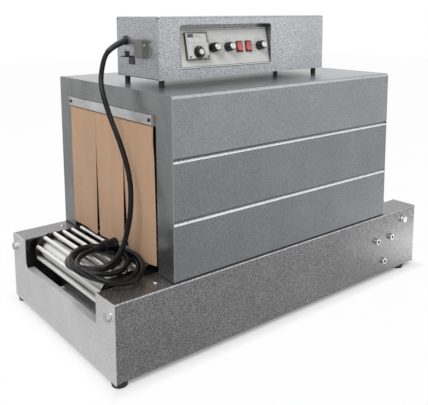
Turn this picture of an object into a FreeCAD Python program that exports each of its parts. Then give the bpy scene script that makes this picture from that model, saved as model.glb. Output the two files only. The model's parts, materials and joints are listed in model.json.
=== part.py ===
import FreeCAD, Part
import math
import os
from FreeCAD import Placement, Rotation, Vector

# Table-top shrink tunnel. Millimetres. +X runs along the conveyor from the infeed mouth to the
# outfeed mouth, -Y is the side with the controls, +Z is up. The origin is on the floor under the
# middle of the base.

# Sheet metal and fits
SHEET = 1.5
LINER_SHEET = 1.0
BEND = 1.5
RUNNING_FIT = 0.08
LOOSE_FIT = 0.5
SOFT_GAP = 0.3

# Base
BASE_LENGTH = 775.0
BASE_WIDTH = 408.0
BASE_HEIGHT = 132.0
FOOT_HEIGHT = 8.0
FOOT_DIAMETER = 28.0
FOOT_INSET = 14.0
OUTFEED_FOOT_INSET = 40.5
FOOT_TAPER = 1.5
RAIL_WIDTH = 59.0
BOTTOM_LIP = 25.0
INNER_WALL_HEIGHT = 95.0
END_SILL_HEIGHT = 78.0
END_LIP = 20.0
END_LIP_GAP = 2.0
SILL_LIP = 12.0
NOTCH_CORNER = 8.0
CROSS_BAR = 16.0
CROSS_BAR_SHEET = 2.0
CROSS_BAR_X = (-300.0, -60.0, 180.0)
RAIL_SCREW_X = 295.0
RAIL_SCREW_INSET = 28.0

# Conveyor
CHAIN_PITCH = 19.05
SPROCKET_TEETH = 8
SHAFT_INSET = 44.0
AXIS_HEIGHT = 117.0
ROD_DIAMETER = 8.0
ROD_OFFSET = 4.0
ROLLER_DIAMETER = 6.35
ROLLER_WIDTH = 5.8
PLATE_THICKNESS = 1.1
PLATE_HEIGHT = 8.2
PLATE_GAP = 0.1
LUG_SHOULDER = 1.0
LUG_TOP_DROP = 0.5
CHAIN_TO_WALL = 13.0
AXLE_DIAMETER = 12.0
DRUM_DIAMETER = 42.0
DRUM_WALL = 2.0
DRUM_END = 8.0
DRUM_CHAIN_GAP = 7.0
DRUM_SHOULDER = 4.0
BUSH_WALL = 3.0
HUB_DIAMETER = 22.0
HUB_HOLE_GAP = 2.0
HUB_WALL_GAP = 0.5
FRONT_HUB_LENGTH = 5.0
SPROCKET_WIDTH = 5.0
TOOTH_HEIGHT = 2.6
TOOTH_TIP = 0.13
SMALL_SEAT = 0.26
SMALL_TOOTH = 0.24
SMALL_CHAIN_PLATE = 0.4
GUIDE_SHEET = 1.5
GUIDE_LEG = 12.0
GUIDE_WIDTH = 15.2
GUIDE_END_GAP = 33.0
TAKE_UP = 10.0

# Bolts and screws
BOLT_DIAMETER = 8.0
BOLT_HEAD = 13.0
BOLT_HEAD_HEIGHT = 5.3
WASHER_DIAMETER = 16.0
WASHER_THICKNESS = 1.6
BOLT_DEPTH = 20.0
TENSION_BLOCK = 20.0
TENSION_BLOCK_WIDTH = 17.0
TENSION_BOLT_INSET = 15.5

# Button-head screws: head diameter, head height, shank diameter
GEARBOX_SCREW = (13.0, 6.0, 5.0)
RAIL_SCREW = (8.0, 2.2, 4.0)
BOX_SCREW = (6.0, 1.6, 3.0)
BAR_SCREW = (7.0, 2.0, 4.0)
COVER_SCREW = (5.0, 1.4, 2.5)
COVER_SCREW_LENGTH = 4.0

# Flat sides of the bars that repeat many times
ROD_SIDES = 12
ROLLER_SIDES = 6
SCREW_SIDES = 12
SHANK_SIDES = 8
SEAT_SIDES = 4

# Gear motor and its chain
GEARBOX_DIAMETER = 78.0
GEARBOX_DEPTH = 32.0
GEARBOX_X = 275.0
GEARBOX_Z = 68.0
GEARBOX_SCREW_RADIUS = 30.7
GEARBOX_SCREW_ANGLES = (37.0, 143.0, 270.0)
GEARBOX_BOSS = 24.0
GEARBOX_BOSS_HEIGHT = 4.0
GEARBOX_WALL = 6.0
MOTOR_DIAMETER = 48.0
MOTOR_LENGTH = 95.0
MOTOR_NECK = 40.0
MOTOR_NECK_LENGTH = 8.0
MOTOR_CHAIN_PITCH = 6.35
MOTOR_TEETH = 10
DRIVEN_TEETH = 15
MOTOR_CHAIN_TO_WALL = 15.0
MOTOR_SPROCKET_WIDTH = 2.8
MOTOR_CHAIN_PLATE = 1.0
OUTPUT_SHAFT_DIAMETER = 8.0

# Hood
HOOD_LENGTH = 550.0
HOOD_INSET = 3.0
HOOD_HEIGHT = 305.0
HOOD_CORNER = 6.0
GASKET = 3.0
GASKET_WIDTH = 51.0
GROOVE_HEIGHTS = (97.0, 200.0)
GROOVE_DEPTH = 3.0
GROOVE_BEND = 0.4
MOUTH_CORNER = 3.0
MOUTH_SIDE_GAP = 10.0
MOUTH_HEIGHT = 251.0
LINER_SIDE_GAP = 13.0
LINER_HEIGHT = 269.0

# Heaters
HEATER_DIAMETER = 10.0
CAP_DIAMETER = 16.0
CAP_LENGTH = 9.5
CAP_POCKET = 5.5
UPPER_HEATERS_X = (-150.0, 0.0, 150.0)
LOWER_HEATERS_X = (-180.0, 0.0, 180.0)
UPPER_HEATER_DROP = 10.0
BRACKET_HEIGHT = 20.0
BRACKET_INSET = 10.5
BRACKET_MARGIN = 40.0
TRAY_SIDE_GAP = 26.0
TRAY_LENGTH = 480.0
TRAY_DROP = 14.0
TRAY_WALL = 10.0
HANGER_WIDTH = 16.0
HANGER_INSET = 20.0
HANGER_ABOVE_HEATER = 4.0
BRACKET_BEND = 0.3
PROBE_X = 215.0
PROBE_DIAMETER = 6.0
PROBE_LENGTH = 60.0
PROBE_COLLAR_DIAMETER = 12.0
PROBE_COLLAR_LENGTH = 6.0

# Curtains
STRIPS_PER_MOUTH = 3
CURTAIN_SIDE_GAP = 5.0
STRIP_GAP = 1.0
STRIP_HINGE_GAP = 0.9
CLOTH = 1.2
BAR_HEIGHT = 16.0
BAR_THICKNESS = 3.0
BAR_ABOVE_MOUTH = 1.5
HEM_SEAM = 0.2
HEM_BELOW_MOUTH = 0.6
HEM_BELOW_BAR_TOP = 1.0
CURTAIN_CLEAR_OF_RODS = 4.0
BAR_SCREW_INSET = 7.0

# Control box
BOX_LENGTH = 407.0
BOX_DEPTH = 140.0
BOX_HEIGHT = 108.0
BOX_LEFT = -237.0
BOX_FRONT = -110.0
BOX_FOOT_HEIGHT = 13.0
BOX_FOOT_DIAMETER = 10.0
BOX_FOOT_INSET = 13.0
BOX_CORNER = 5.0
CUT_OUT_LEFT = 43.0
CUT_OUT_LENGTH = 216.5
CUT_OUT_BOTTOM = 16.5
CUT_OUT_HEIGHT = 77.5
CUT_OUT_CORNER = 6.0
BOX_SCREW_INSET = 12.0
RECESS_DEPTH = 20.0
RECESS_WALL = 1.2
RECESS_REAR = 16.0
PANEL_TILT = 11.0
PANEL_MARGIN = 2.0
PANEL_HEIGHT = 70.0

# Controls on the tilted panel. Their X is measured from the panel's left edge, their height up
# the panel's face, and the panel's own frame has -Y pointing out of it.
CONTROLLER_X = 38.5
CONTROLLER_RISE = 38.5
CONTROLLER_FACE = 48.0
CONTROLLER_BODY = 45.0
CONTROLLER_PROUD = 7.6
CONTROLLER_DEPTH = 58.0
CONTROLLER_CORNER = 1.5
WINDOW_LENGTH = 43.0
WINDOW_HEIGHT = 16.5
WINDOW_RISE = 52.2
WINDOW_RECESS = 2.5
WINDOW_SHEET = 1.0
WINDOW_SET_BACK = 0.4
DIAL_RISE = 27.0
DIAL_RING_DIAMETER = 23.0
DIAL_DIAMETER = 17.0
DIAL_CAP_DIAMETER = 9.0
DIAL_LENGTH = 8.0
DIAL_OFF_FACE = 0.4
DIAL_FRONT_DIAMETER = 15.0
DIAL_RING_SHEET = 1.2
DIAL_STEM = 5.0
DIAL_STEM_LENGTH = 6.0
KNOB_CAP_HEIGHT = 0.8
KNOB_CHAMFER = 0.8
KNOB_X = {"upper_heat_knob": 75.9, "lower_heat_knob": 110.8, "speed_knob": 188.7}
KNOB_RISE = 34.6
KNOB_DIAMETER = 18.0
KNOB_LENGTH = 16.0
KNOB_TAPER = 1.2
KNOB_SKIRT = 3.0
KNOB_SOCKET_WALL = 3.0
KNOB_FLUTES = 12
FLUTE_DEPTH = 0.8
KNOB_CAP_DIAMETER = 11.0
KNOB_OFF_PANEL = 1.0
SPINDLE_DIAMETER = 6.0
ROCKER_X = {"power_rocker": 139.0, "conveyor_rocker": 161.3}
ROCKER_FACE = (15.0, 21.0)
ROCKER_BODY = (12.8, 18.8)
ROCKER_KEY = (10.6, 16.0)
ROCKER_KEY_GAP = 0.4
ROCKER_DEPTH = 16.0
ROCKER_FRAME = 2.0
ROCKER_CAVITY_DEPTH = 8.0
ROCKER_CAVITY_END_GAP = 1.0
ROCKER_TILT = 8.0
ROCKER_PIVOT = 0.5
ROCKER_PROUD = 5.6
ROCKER_DIP = 3.0
ROCKER_FOOT = 2.5
ROCKER_ROOT = 5.0
POT_DIAMETER = 16.0
POT_DEPTH = 9.5
POT_THREAD = 8.0
POT_NUT = 11.0
POT_NUT_HEIGHT = 2.0
POT_NUT_SET_BACK = 0.4
BOARD_MARGIN = 10.0
BOARD_HEIGHT = 38.0
BOARD_SHEET = 1.6
BOARD_CUT_GAP = 1.0

# Left end of the control box
GLAND_Y = -3.0
GLAND_Z = 526.5
GLAND_FLANGE = 17.0
GLAND_FLANGE_SHEET = 4.0
GLAND_DOME = (14.0, 11.0)
GLAND_DOME_LENGTH = 14.5
GLAND_THREAD = 12.0
GLAND_THREAD_LENGTH = 10.0
GLAND_NUT_HEIGHT = 4.0
SIDE_COVER = (10.5, 25.5, 33.0)
SIDE_COVER_Y = -73.0
SIDE_COVER_RISE = 36.0
SIDE_COVER_CORNER = 2.0
COVER_SCREW_RISE = 22.0
EARTH_Y = -22.0
EARTH_RISE = 37.0
EARTH_WIDTH = 18.0
EARTH_REACH = 19.0
EARTH_DROP = 14.0
EARTH_STUD_REACH = 10.0
EARTH_STUD = 4.0
EARTH_STUD_LENGTH = 9.0
EARTH_WASHER = 14.0
EARTH_WASHER_SHEET = 1.0
WING_HUB = 8.0
WING_HUB_HEIGHT = 4.0
WING_SHEET = 2.0

# Power cord: the route's points run from the gland to the coil on the rods.
CORD_DIAMETER = 9.0
CORD_SIDES = 10
CORD_ROUTE = (
    (-252, -4, 521.5),
    (-266, -5, 516),
    (-285, -10, 503),
    (-305, -30, 470),
    (-311, -43, 445),
    (-308, -61, 405),
    (-302, -90, 354),
    (-300, -114, 302),
    (-305, -121, 249),
    (-312, -110, 208),
    (-326, -104, 180),
    (-339, -102, 167),
    (-354, -97, 159),
)
COIL_CENTRE = (-340.0, -97.0)
COIL_RADII = (60.0, 87.0)
COIL_HEIGHT = 18.0
PLUG_START = (-338.0, -57.0, 172.0)
PLUG_NECK = (12.0, 20.0)
PLUG_NECK_LENGTH = 14.0
PLUG_BODY = (23.0, 25.0)
PLUG_BODY_LENGTH = 24.0
PIN_DIAMETER = 4.0
PIN_LENGTH = 17.0
PIN_SPACING = 17.0

# Worked out from the sizes above
half_length = BASE_LENGTH / 2
half_width = BASE_WIDTH / 2
rail_top = FOOT_HEIGHT + BASE_HEIGHT
belt_half = half_width - RAIL_WIDTH
panel_end = half_length - SHEET
inner_wall_back = belt_half + SHEET
pin_radius = CHAIN_PITCH / (2 * math.sin(math.pi / SPROCKET_TEETH))
link_radius = pin_radius * math.cos(math.pi / SPROCKET_TEETH)
straight_links = 2 * int((BASE_LENGTH - 2 * SHAFT_INSET) / (2 * CHAIN_PITCH))
shaft_x = straight_links * CHAIN_PITCH / 2
chain_y = belt_half - CHAIN_TO_WALL
rod_top = AXIS_HEIGHT + pin_radius + ROD_OFFSET + ROD_DIAMETER / 2
drum_end_y = chain_y - SPROCKET_WIDTH / 2 - DRUM_CHAIN_GAP - DRUM_SHOULDER
hood_bottom = rail_top + GASKET
hood_top = hood_bottom + HOOD_HEIGHT
hood_half = HOOD_LENGTH / 2
hood_side = half_width - HOOD_INSET
mouth_half = belt_half + MOUTH_SIDE_GAP
mouth_top = hood_bottom + MOUTH_HEIGHT
hem_face = hood_half + 2 * CLOTH + HEM_SEAM
bar_bottom = mouth_top + BAR_ABOVE_MOUTH
bar_middle = bar_bottom + BAR_HEIGHT / 2
tension_y = half_width - TENSION_BOLT_INSET
liner_side = belt_half + LINER_SIDE_GAP
tray_side = belt_half - TRAY_SIDE_GAP
curtain_half = mouth_half - CURTAIN_SIDE_GAP
motor_chain_y = belt_half + MOTOR_CHAIN_TO_WALL
liner_top = hood_bottom + LINER_HEIGHT
upper_heater_z = liner_top - UPPER_HEATER_DROP
bracket_y = liner_side - BRACKET_INSET
box_bottom = hood_top + BOX_FOOT_HEIGHT
box_top = box_bottom + BOX_HEIGHT
side_cover_z = box_bottom + SIDE_COVER_RISE
earth_z = box_bottom + EARTH_RISE
box_right = BOX_LEFT + BOX_LENGTH
box_back = BOX_FRONT + BOX_DEPTH
panel_left = BOX_LEFT + CUT_OUT_LEFT + PANEL_MARGIN
panel_length = CUT_OUT_LENGTH - 2 * PANEL_MARGIN
panel_y = BOX_FRONT + SHEET / 2
panel_z = box_bottom + CUT_OUT_BOTTOM + 1.0

X_AXIS = Vector(1, 0, 0)
Y_AXIS = Vector(0, 1, 0)
Z_AXIS = Vector(0, 0, 1)


def box(x, y, z):
    """A box between pairs of limits."""
    size = [max(pair) - min(pair) for pair in (x, y, z)]
    return Part.makeBox(*size, Vector(min(x), min(y), min(z)))


def disc(radius, start, end):
    """A round bar from one point to another."""
    start, end = Vector(*start), Vector(*end)
    return Part.makeCylinder(radius, start.distanceToPoint(end), start, end - start)


def ring(outer, inner, start, end):
    """A round bar with a bore."""
    return disc(outer, start, end).cut(disc(inner, start, end))


def faceted_bar(radius, sides, start, end):
    """A bar with flat sides between two points, its corners on the radius."""
    start, end = Vector(*start), Vector(*end)
    along = (end - start).normalize()
    across = along.cross(X_AXIS if abs(along.z) > 0.5 else Z_AXIS).normalize()
    upward = along.cross(across)
    corners = []
    for index in range(sides):
        angle = 2 * math.pi * (index + 0.5) / sides
        spoke = across * math.cos(angle) + upward * math.sin(angle)
        corners.append(start + spoke * radius)
    return prism(corners, end - start)


def cone(start_radius, end_radius, start, end):
    start, end = Vector(*start), Vector(*end)
    return Part.makeCone(start_radius, end_radius, start.distanceToPoint(end), start, end - start)


def rounded_face(corners, radii):
    """A flat face whose corners are arcs tangent to the sides beside them."""
    corners = [Vector(*corner) for corner in corners]
    spans = []
    for index, corner in enumerate(corners):
        before = (corners[index - 1] - corner).normalize()
        after = (corners[(index + 1) % len(corners)] - corner).normalize()
        radius = radii[index]
        if radius == 0:
            spans.append((corner, None, corner))
            continue
        half = before.getAngle(after) / 2
        reach = radius / math.tan(half)
        middle = (before + after).normalize() * (radius / math.sin(half) - radius)
        spans.append((corner + before * reach, corner + middle, corner + after * reach))
    edges = []
    for index, (start, middle, end) in enumerate(spans):
        if middle is not None:
            edges.append(Part.Arc(start, middle, end).toShape())
        following = spans[(index + 1) % len(spans)][0]
        edges.append(Part.LineSegment(end, following).toShape())
    return Part.Face(Part.Wire(edges))


def prism(corners, sweep, radius=0):
    """A straight-sided solid over an outline."""
    return rounded_face(corners, [radius] * len(corners)).extrude(Vector(*sweep))


def folded_sheet(skin, normal, sheet, bends, sweep):
    """Bent sheet metal. The skin is its outline on one side, and the metal lies to the left of
    it, seen against the normal. Each bend is the radius on the inside of the fold."""
    skin = [Vector(*point) for point in skin]
    runs = [(end - start).normalize() for start, end in zip(skin, skin[1:])]
    lefts = [normal.cross(run) for run in runs]
    back = [skin[0] + lefts[0] * sheet]
    skin_radii = [0]
    back_radii = [0]
    for index in range(1, len(skin) - 1):
        first, second = lefts[index - 1], lefts[index]
        back.append(skin[index] + (first + second) * (sheet / (1 + first.dot(second))))
        towards_metal = runs[index - 1].cross(runs[index]).dot(normal) > 0
        bend = bends[index - 1]
        skin_radii.append(bend + sheet if towards_metal else bend)
        back_radii.append(bend if towards_metal else bend + sheet)
    back.append(skin[-1] + lefts[-1] * sheet)
    corners = skin + back[::-1]
    radii = skin_radii + [0, 0] + back_radii[::-1]
    return rounded_face(corners, radii).extrude(Vector(*sweep))


def swept_tube(points, diameter):
    """A tube along straight runs joined by the largest tangent arcs that fit."""
    points = [Vector(*point) for point in points]
    edges = []
    start = points[0]
    radii = []
    for index in range(1, len(points) - 1):
        corner = points[index]
        before = points[index - 1] - corner
        after = points[index + 1] - corner
        turn = math.pi - before.getAngle(after)
        reach = 0.45 * min(before.Length, after.Length)
        radius = reach / math.tan(turn / 2)
        radii.append(radius)
        before.normalize()
        after.normalize()
        middle = (before + after).normalize() * (radius / math.cos(turn / 2) - radius)
        arc_start, arc_end = corner + before * reach, corner + after * reach
        edges.append(Part.LineSegment(start, arc_start).toShape())
        edges.append(Part.Arc(arc_start, corner + middle, arc_end).toShape())
        start = arc_end
    edges.append(Part.LineSegment(start, points[-1]).toShape())
    path = Part.Wire(edges)
    heading = (points[1] - points[0]).normalize()
    sideways = heading.cross(Z_AXIS).normalize()
    upward = heading.cross(sideways)
    corners = []
    for index in range(CORD_SIDES + 1):
        angle = 2 * math.pi * index / CORD_SIDES
        spoke = sideways * math.cos(angle) + upward * math.sin(angle)
        corners.append(points[0] + spoke * (diameter / 2))
    section = Part.makePolygon(corners)
    tube = path.makePipeShell([section], True, True)
    ideal = Part.Face(section).Area * path.Length
    print("cord length", round(path.Length), "volume ratio", round(tube.Volume / ideal, 4))
    print("cord radii", [round(radius) for radius in radii])
    return tube


def bolt(head_seat, direction, length, washer=True):
    """A hexagon-head bolt whose shank runs from the seat along the direction."""
    seat = Vector(*head_seat)
    along = Vector(*direction)
    solids = []
    if washer:
        top = seat - along * WASHER_THICKNESS
        washer_ring = ring(WASHER_DIAMETER / 2, BOLT_DIAMETER / 2, seat, top)
        solids.append(washer_ring)
        seat_of_head = top
    else:
        seat_of_head = seat
    across = Y_AXIS if abs(along.x) > 0.5 else X_AXIS
    side = along.cross(across)
    corner_radius = BOLT_HEAD / math.sqrt(3)
    corners = []
    for index in range(6):
        angle = math.pi * index / 3
        spoke = across * math.cos(angle) + side * math.sin(angle)
        corners.append(seat_of_head + spoke * corner_radius)
    head = prism(corners, along * -BOLT_HEAD_HEIGHT)
    shank = disc(BOLT_DIAMETER / 2, seat_of_head, seat + along * length)
    solids.append(head.fuse(shank).removeSplitter())
    return solids


def screw(seat, outward, kind, length):
    """A button-head screw standing on its seat."""
    head_diameter, head_height, shank_diameter = kind
    seat, outward = Vector(*seat), Vector(*outward)
    head = faceted_bar(head_diameter / 2, SCREW_SIDES, seat, seat + outward * head_height)
    shank = faceted_bar(shank_diameter / 2, SHANK_SIDES, seat - outward * length, seat)
    return head.fuse(shank).removeSplitter()


def screw_hole(seat, outward, kind, depth):
    """A hole with the same sides as the shank that goes in it."""
    seat, outward = Vector(*seat), Vector(*outward)
    radius = kind[2] / 2 + RUNNING_FIT
    return faceted_bar(radius, SHANK_SIDES, seat - outward * (depth + 1), seat + outward)


def mirrored(shape, normal):
    return shape.mirror(Vector(0, 0, 0), normal)


def both_sides(shape):
    """The shape and its mirror image across the conveyor."""
    return [shape, mirrored(shape, Y_AXIS)]


def both_ends(shape):
    """The shape and its mirror image along the conveyor."""
    return [shape, mirrored(shape, X_AXIS)]


def save(name, *shapes):
    """One file for a named piece, or for a group of the same pieces."""
    solids = [solid for shape in shapes for solid in shape.Solids]
    Part.makeCompound(solids).exportStep("parts/" + name + ".step")


def side_panel(holes):
    """Outer wall, rail top, inner wall and bottom lip, bent from one sheet; the front one."""
    skin = (
        (-panel_end, -belt_half, rail_top - INNER_WALL_HEIGHT),
        (-panel_end, -belt_half, rail_top),
        (-panel_end, -half_width, rail_top),
        (-panel_end, -half_width, FOOT_HEIGHT),
        (-panel_end, -half_width + BOTTOM_LIP, FOOT_HEIGHT),
    )
    sweep = (2 * panel_end, 0, 0)
    return folded_sheet(skin, X_AXIS, SHEET, [BEND] * 3, sweep).cut(holes)


def shaft_holes():
    """Openings in a side panel for the axles, the drive hub, the heaters and the rail screws."""
    wall = (-inner_wall_back - 1, -belt_half + 1)
    hub_hole = HUB_DIAMETER / 2 + HUB_HOLE_GAP
    holes = [disc(hub_hole, (shaft_x, wall[0], AXIS_HEIGHT), (shaft_x, wall[1], AXIS_HEIGHT))]
    slot_half = AXLE_DIAMETER / 2 + RUNNING_FIT
    slot_x = (-shaft_x - TAKE_UP, -shaft_x + TAKE_UP)
    holes.append(box(slot_x, wall, (AXIS_HEIGHT - slot_half, AXIS_HEIGHT + slot_half)))
    outer = (-half_width - 1, -half_width + SHEET + 1)
    bolt_hole = BOLT_DIAMETER / 2 + RUNNING_FIT
    holes.append(disc(bolt_hole, (shaft_x, outer[0], AXIS_HEIGHT), (shaft_x, outer[1], AXIS_HEIGHT)))
    heater_hole = HEATER_DIAMETER / 2 + RUNNING_FIT
    for x in LOWER_HEATERS_X:
        holes.append(disc(heater_hole, (x, wall[0], AXIS_HEIGHT), (x, wall[1], AXIS_HEIGHT)))
    for x in (-RAIL_SCREW_X, RAIL_SCREW_X):
        seat = (x, -half_width + RAIL_SCREW_INSET, rail_top)
        holes.append(screw_hole(seat, Z_AXIS, RAIL_SCREW, SHEET))
    return holes


def gearbox_screw_spots():
    """The three gearbox screws on the front panel, two above and one below."""
    spots = []
    for degrees in GEARBOX_SCREW_ANGLES:
        angle = math.radians(degrees)
        x = GEARBOX_X + GEARBOX_SCREW_RADIUS * math.cos(angle)
        z = GEARBOX_Z + GEARBOX_SCREW_RADIUS * math.sin(angle)
        spots.append((x, -half_width, z))
    return spots


def end_plate():
    """The outfeed end plate: a sheet with a deep notch for the conveyor and a bottom lip."""
    sill = FOOT_HEIGHT + END_SILL_HEIGHT
    outline = (
        (panel_end, -half_width, FOOT_HEIGHT),
        (panel_end, half_width, FOOT_HEIGHT),
        (panel_end, half_width, rail_top),
        (panel_end, belt_half, rail_top),
        (panel_end, belt_half, sill),
        (panel_end, -belt_half, sill),
        (panel_end, -belt_half, rail_top),
        (panel_end, -half_width, rail_top),
    )
    radii = [0, 0, BEND, 0, NOTCH_CORNER, NOTCH_CORNER, 0, BEND]
    plate = rounded_face(outline, radii).extrude(Vector(SHEET, 0, 0))
    lip_half = half_width - BOTTOM_LIP - END_LIP_GAP
    lip = box((panel_end - END_LIP, panel_end), (-lip_half, lip_half), (FOOT_HEIGHT, FOOT_HEIGHT + SHEET))
    sill_half = belt_half - NOTCH_CORNER
    sill_lip = box((panel_end - SILL_LIP, panel_end), (-sill_half, sill_half), (sill - SHEET, sill))
    return plate.fuse([lip, sill_lip]).removeSplitter()


def build_base():
    holes = shaft_holes()
    screw_holes = []
    for spot in gearbox_screw_spots():
        screw_holes.append(screw_hole(spot, -Y_AXIS, GEARBOX_SCREW, SHEET))
    save("front_side_panel", side_panel(holes + screw_holes))
    save("back_side_panel", mirrored(side_panel(holes), Y_AXIS))
    plate = end_plate()
    save("outfeed_end_plate", plate)
    infeed = mirrored(plate, X_AXIS)
    hole_radius = BOLT_DIAMETER / 2 + RUNNING_FIT
    for y in (-tension_y, tension_y):
        ends = (-half_length - 1, y, AXIS_HEIGHT), (-panel_end + 1, y, AXIS_HEIGHT)
        infeed = infeed.cut(disc(hole_radius, *ends))
    save("infeed_end_plate", infeed)
    bars = []
    lip_top = FOOT_HEIGHT + SHEET
    bar_half = half_width - SHEET - BEND
    for x in CROSS_BAR_X:
        skin = (
            (x, -bar_half, lip_top + CROSS_BAR),
            (x, -bar_half, lip_top),
            (x + CROSS_BAR, -bar_half, lip_top),
        )
        sweep = (0, 2 * bar_half, 0)
        bars.append(folded_sheet(skin, -Y_AXIS, CROSS_BAR_SHEET, [BEND], sweep))
    save("base_cross_bars", *bars)
    save("rubber_feet", *rubber_feet())


def rubber_feet():
    """Four tapered feet under the base and four plain ones under the control box."""
    feet = []
    radius = FOOT_DIAMETER / 2
    for x in (-half_length + FOOT_INSET, half_length - OUTFEED_FOOT_INSET):
        for y in (-half_width + FOOT_INSET, half_width - FOOT_INSET):
            feet.append(cone(radius - FOOT_TAPER, radius, (x, y, 0), (x, y, FOOT_HEIGHT)))
    small = BOX_FOOT_DIAMETER / 2
    for x in (BOX_LEFT + BOX_FOOT_INSET, box_right - BOX_FOOT_INSET):
        for y in (BOX_FRONT + BOX_FOOT_INSET, box_back - BOX_FOOT_INSET):
            feet.append(disc(small, (x, y, hood_top), (x, y, box_bottom)))
    return feet


def link_stations():
    """Every link of the chain loop: its middle, and the turn of its outward side from +Z."""
    middle = AXIS_HEIGHT
    step = 360.0 / SPROCKET_TEETH
    links_on_wrap = SPROCKET_TEETH // 2
    stations = []
    for side, turn in ((1, 0.0), (-1, 180.0)):
        for index in range(straight_links):
            x = side * (-shaft_x + (index + 0.5) * CHAIN_PITCH)
            stations.append((x, middle + side * pin_radius, turn))
        for index in range(links_on_wrap):
            angle = turn + (index + 0.5) * step
            radians = math.radians(angle)
            x = side * shaft_x + link_radius * math.sin(radians)
            stations.append((x, middle + link_radius * math.cos(radians), angle))
    return stations


def at_station(shape, station):
    x, z, turn = station
    placed = shape.copy()
    placed.Placement = Placement(Vector(x, 0, z), Rotation(Y_AXIS, turn))
    return placed


def link_plates(first_face):
    """A link's two plates. The plate on the tunnel side carries the lug that holds the rod, and
    first_face is its distance from the middle of the chain."""
    end = CHAIN_PITCH / 2 + PLATE_HEIGHT / 2
    half = PLATE_HEIGHT / 2
    lug_side = ROD_DIAMETER / 2
    lug_top = ROD_OFFSET + ROD_DIAMETER / 2 - LUG_TOP_DROP
    inside = chain_y - first_face
    outline = (
        (-end, -inside, -half),
        (end, -inside, -half),
        (end, -inside, half - LUG_SHOULDER),
        (lug_side, -inside, lug_top),
        (-lug_side, -inside, lug_top),
        (-end, -inside, half - LUG_SHOULDER),
    )
    lug_plate = prism(outline, (0, -PLATE_THICKNESS, 0))
    outside = chain_y + first_face
    plain_plate = box((-end, end), (-outside, -outside + PLATE_THICKNESS), (-half, half))
    return [lug_plate, plain_plate]


def chain_roller(x, z):
    """A roller between a link's inner plates."""
    half = ROLLER_WIDTH / 2
    ends = (x, chain_y - half, z), (x, chain_y + half, z)
    return faceted_bar(ROLLER_DIAMETER / 2, ROLLER_SIDES, *ends)


def build_chains():
    """Two attachment chains and the rods between their lugs."""
    inner_face = ROLLER_WIDTH / 2 + PLATE_THICKNESS
    outer_face = inner_face + PLATE_GAP + PLATE_THICKNESS
    plates = {True: link_plates(inner_face), False: link_plates(outer_face)}
    links = []
    rods = []
    for index, station in enumerate(link_stations()):
        is_inner = index % 2 == 0
        rod_half = chain_y - (inner_face if is_inner else outer_face)
        ends = (0, -rod_half, ROD_OFFSET), (0, rod_half, ROD_OFFSET)
        rods.append(at_station(faceted_bar(ROD_DIAMETER / 2, ROD_SIDES, *ends), station))
        for plate in plates[is_inner]:
            placed = at_station(plate, station)
            links.append(placed)
            links.append(mirrored(placed, Y_AXIS))
    for z in (AXIS_HEIGHT - pin_radius, AXIS_HEIGHT + pin_radius):
        for index in range(1, straight_links):
            x = -shaft_x + index * CHAIN_PITCH
            links.extend(both_sides(chain_roller(x, z)))
    save("conveyor_chains", *links)
    save("carrier_rods", *rods)


def build_chain_guides():
    """Angles on the inner walls, one under each run of each chain."""
    guides = []
    reach = shaft_x - GUIDE_END_GAP
    for run in (1, -1):
        top = AXIS_HEIGHT + run * pin_radius - PLATE_HEIGHT / 2 - SOFT_GAP
        skin = (
            (-reach, -belt_half + GUIDE_WIDTH, top),
            (-reach, -belt_half, top),
            (-reach, -belt_half, top - GUIDE_LEG),
        )
        guide = folded_sheet(skin, X_AXIS, GUIDE_SHEET, [0.5], (2 * reach, 0, 0))
        guides.extend(both_sides(guide))
    save("chain_guides", *guides)


def sprocket_face(centre, teeth, pitch, seat_radius, tooth_height):
    """The outline of a sprocket in an XZ plane: a round seat for each roller, its bottom third
    cut in short flats, between straight teeth."""
    radius = pitch / (2 * math.sin(math.pi / teeth))
    step = 2 * math.pi / teeth
    tip_half = TOOTH_TIP * step
    x, y, z = centre

    def polar(distance, angle):
        return (x + distance * math.sin(angle), y, z + distance * math.cos(angle))

    corners = []
    for index in range(teeth):
        angle = index * step
        for side in range(SEAT_SIDES + 1):
            turn = math.radians(120) * (side / SEAT_SIDES - 0.5)
            inward = radius - seat_radius * math.cos(turn)
            across = seat_radius * math.sin(turn)
            corners.append(polar(math.hypot(inward, across), angle + math.atan2(across, inward)))
        for lean in (-tip_half, tip_half):
            corners.append(polar(radius + tooth_height, angle + step / 2 + lean))
    return rounded_face(corners, [0] * len(corners))


def chain_sprocket(x, hub_end):
    """A conveyor sprocket on the front side, its hub running outwards to hub_end."""
    outer = -chain_y - SPROCKET_WIDTH / 2
    seat = ROLLER_DIAMETER / 2 + RUNNING_FIT
    face = sprocket_face((x, outer, AXIS_HEIGHT), SPROCKET_TEETH, CHAIN_PITCH, seat, TOOTH_HEIGHT)
    wheel = face.extrude(Vector(0, SPROCKET_WIDTH, 0))
    hub = disc(HUB_DIAMETER / 2, (x, hub_end, AXIS_HEIGHT), (x, -drum_end_y, AXIS_HEIGHT))
    bore = AXLE_DIAMETER / 2 + LOOSE_FIT
    hole = disc(bore, (x, hub_end - 1, AXIS_HEIGHT), (x, -drum_end_y + 1, AXIS_HEIGHT))
    return wheel.fuse(hub).cut(hole).removeSplitter()


def drum(x):
    """A tube with a thick ring in each end, bored for the bushes."""
    outer, inner = DRUM_DIAMETER / 2, DRUM_DIAMETER / 2 - DRUM_WALL
    shell = ring(outer, inner, (x, -drum_end_y, AXIS_HEIGHT), (x, drum_end_y, AXIS_HEIGHT))
    bore = AXLE_DIAMETER / 2 + BUSH_WALL
    start, end = (x, drum_end_y - DRUM_END, AXIS_HEIGHT), (x, drum_end_y, AXIS_HEIGHT)
    return shell.fuse(both_sides(ring(inner, bore, start, end))).removeSplitter()


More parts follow.
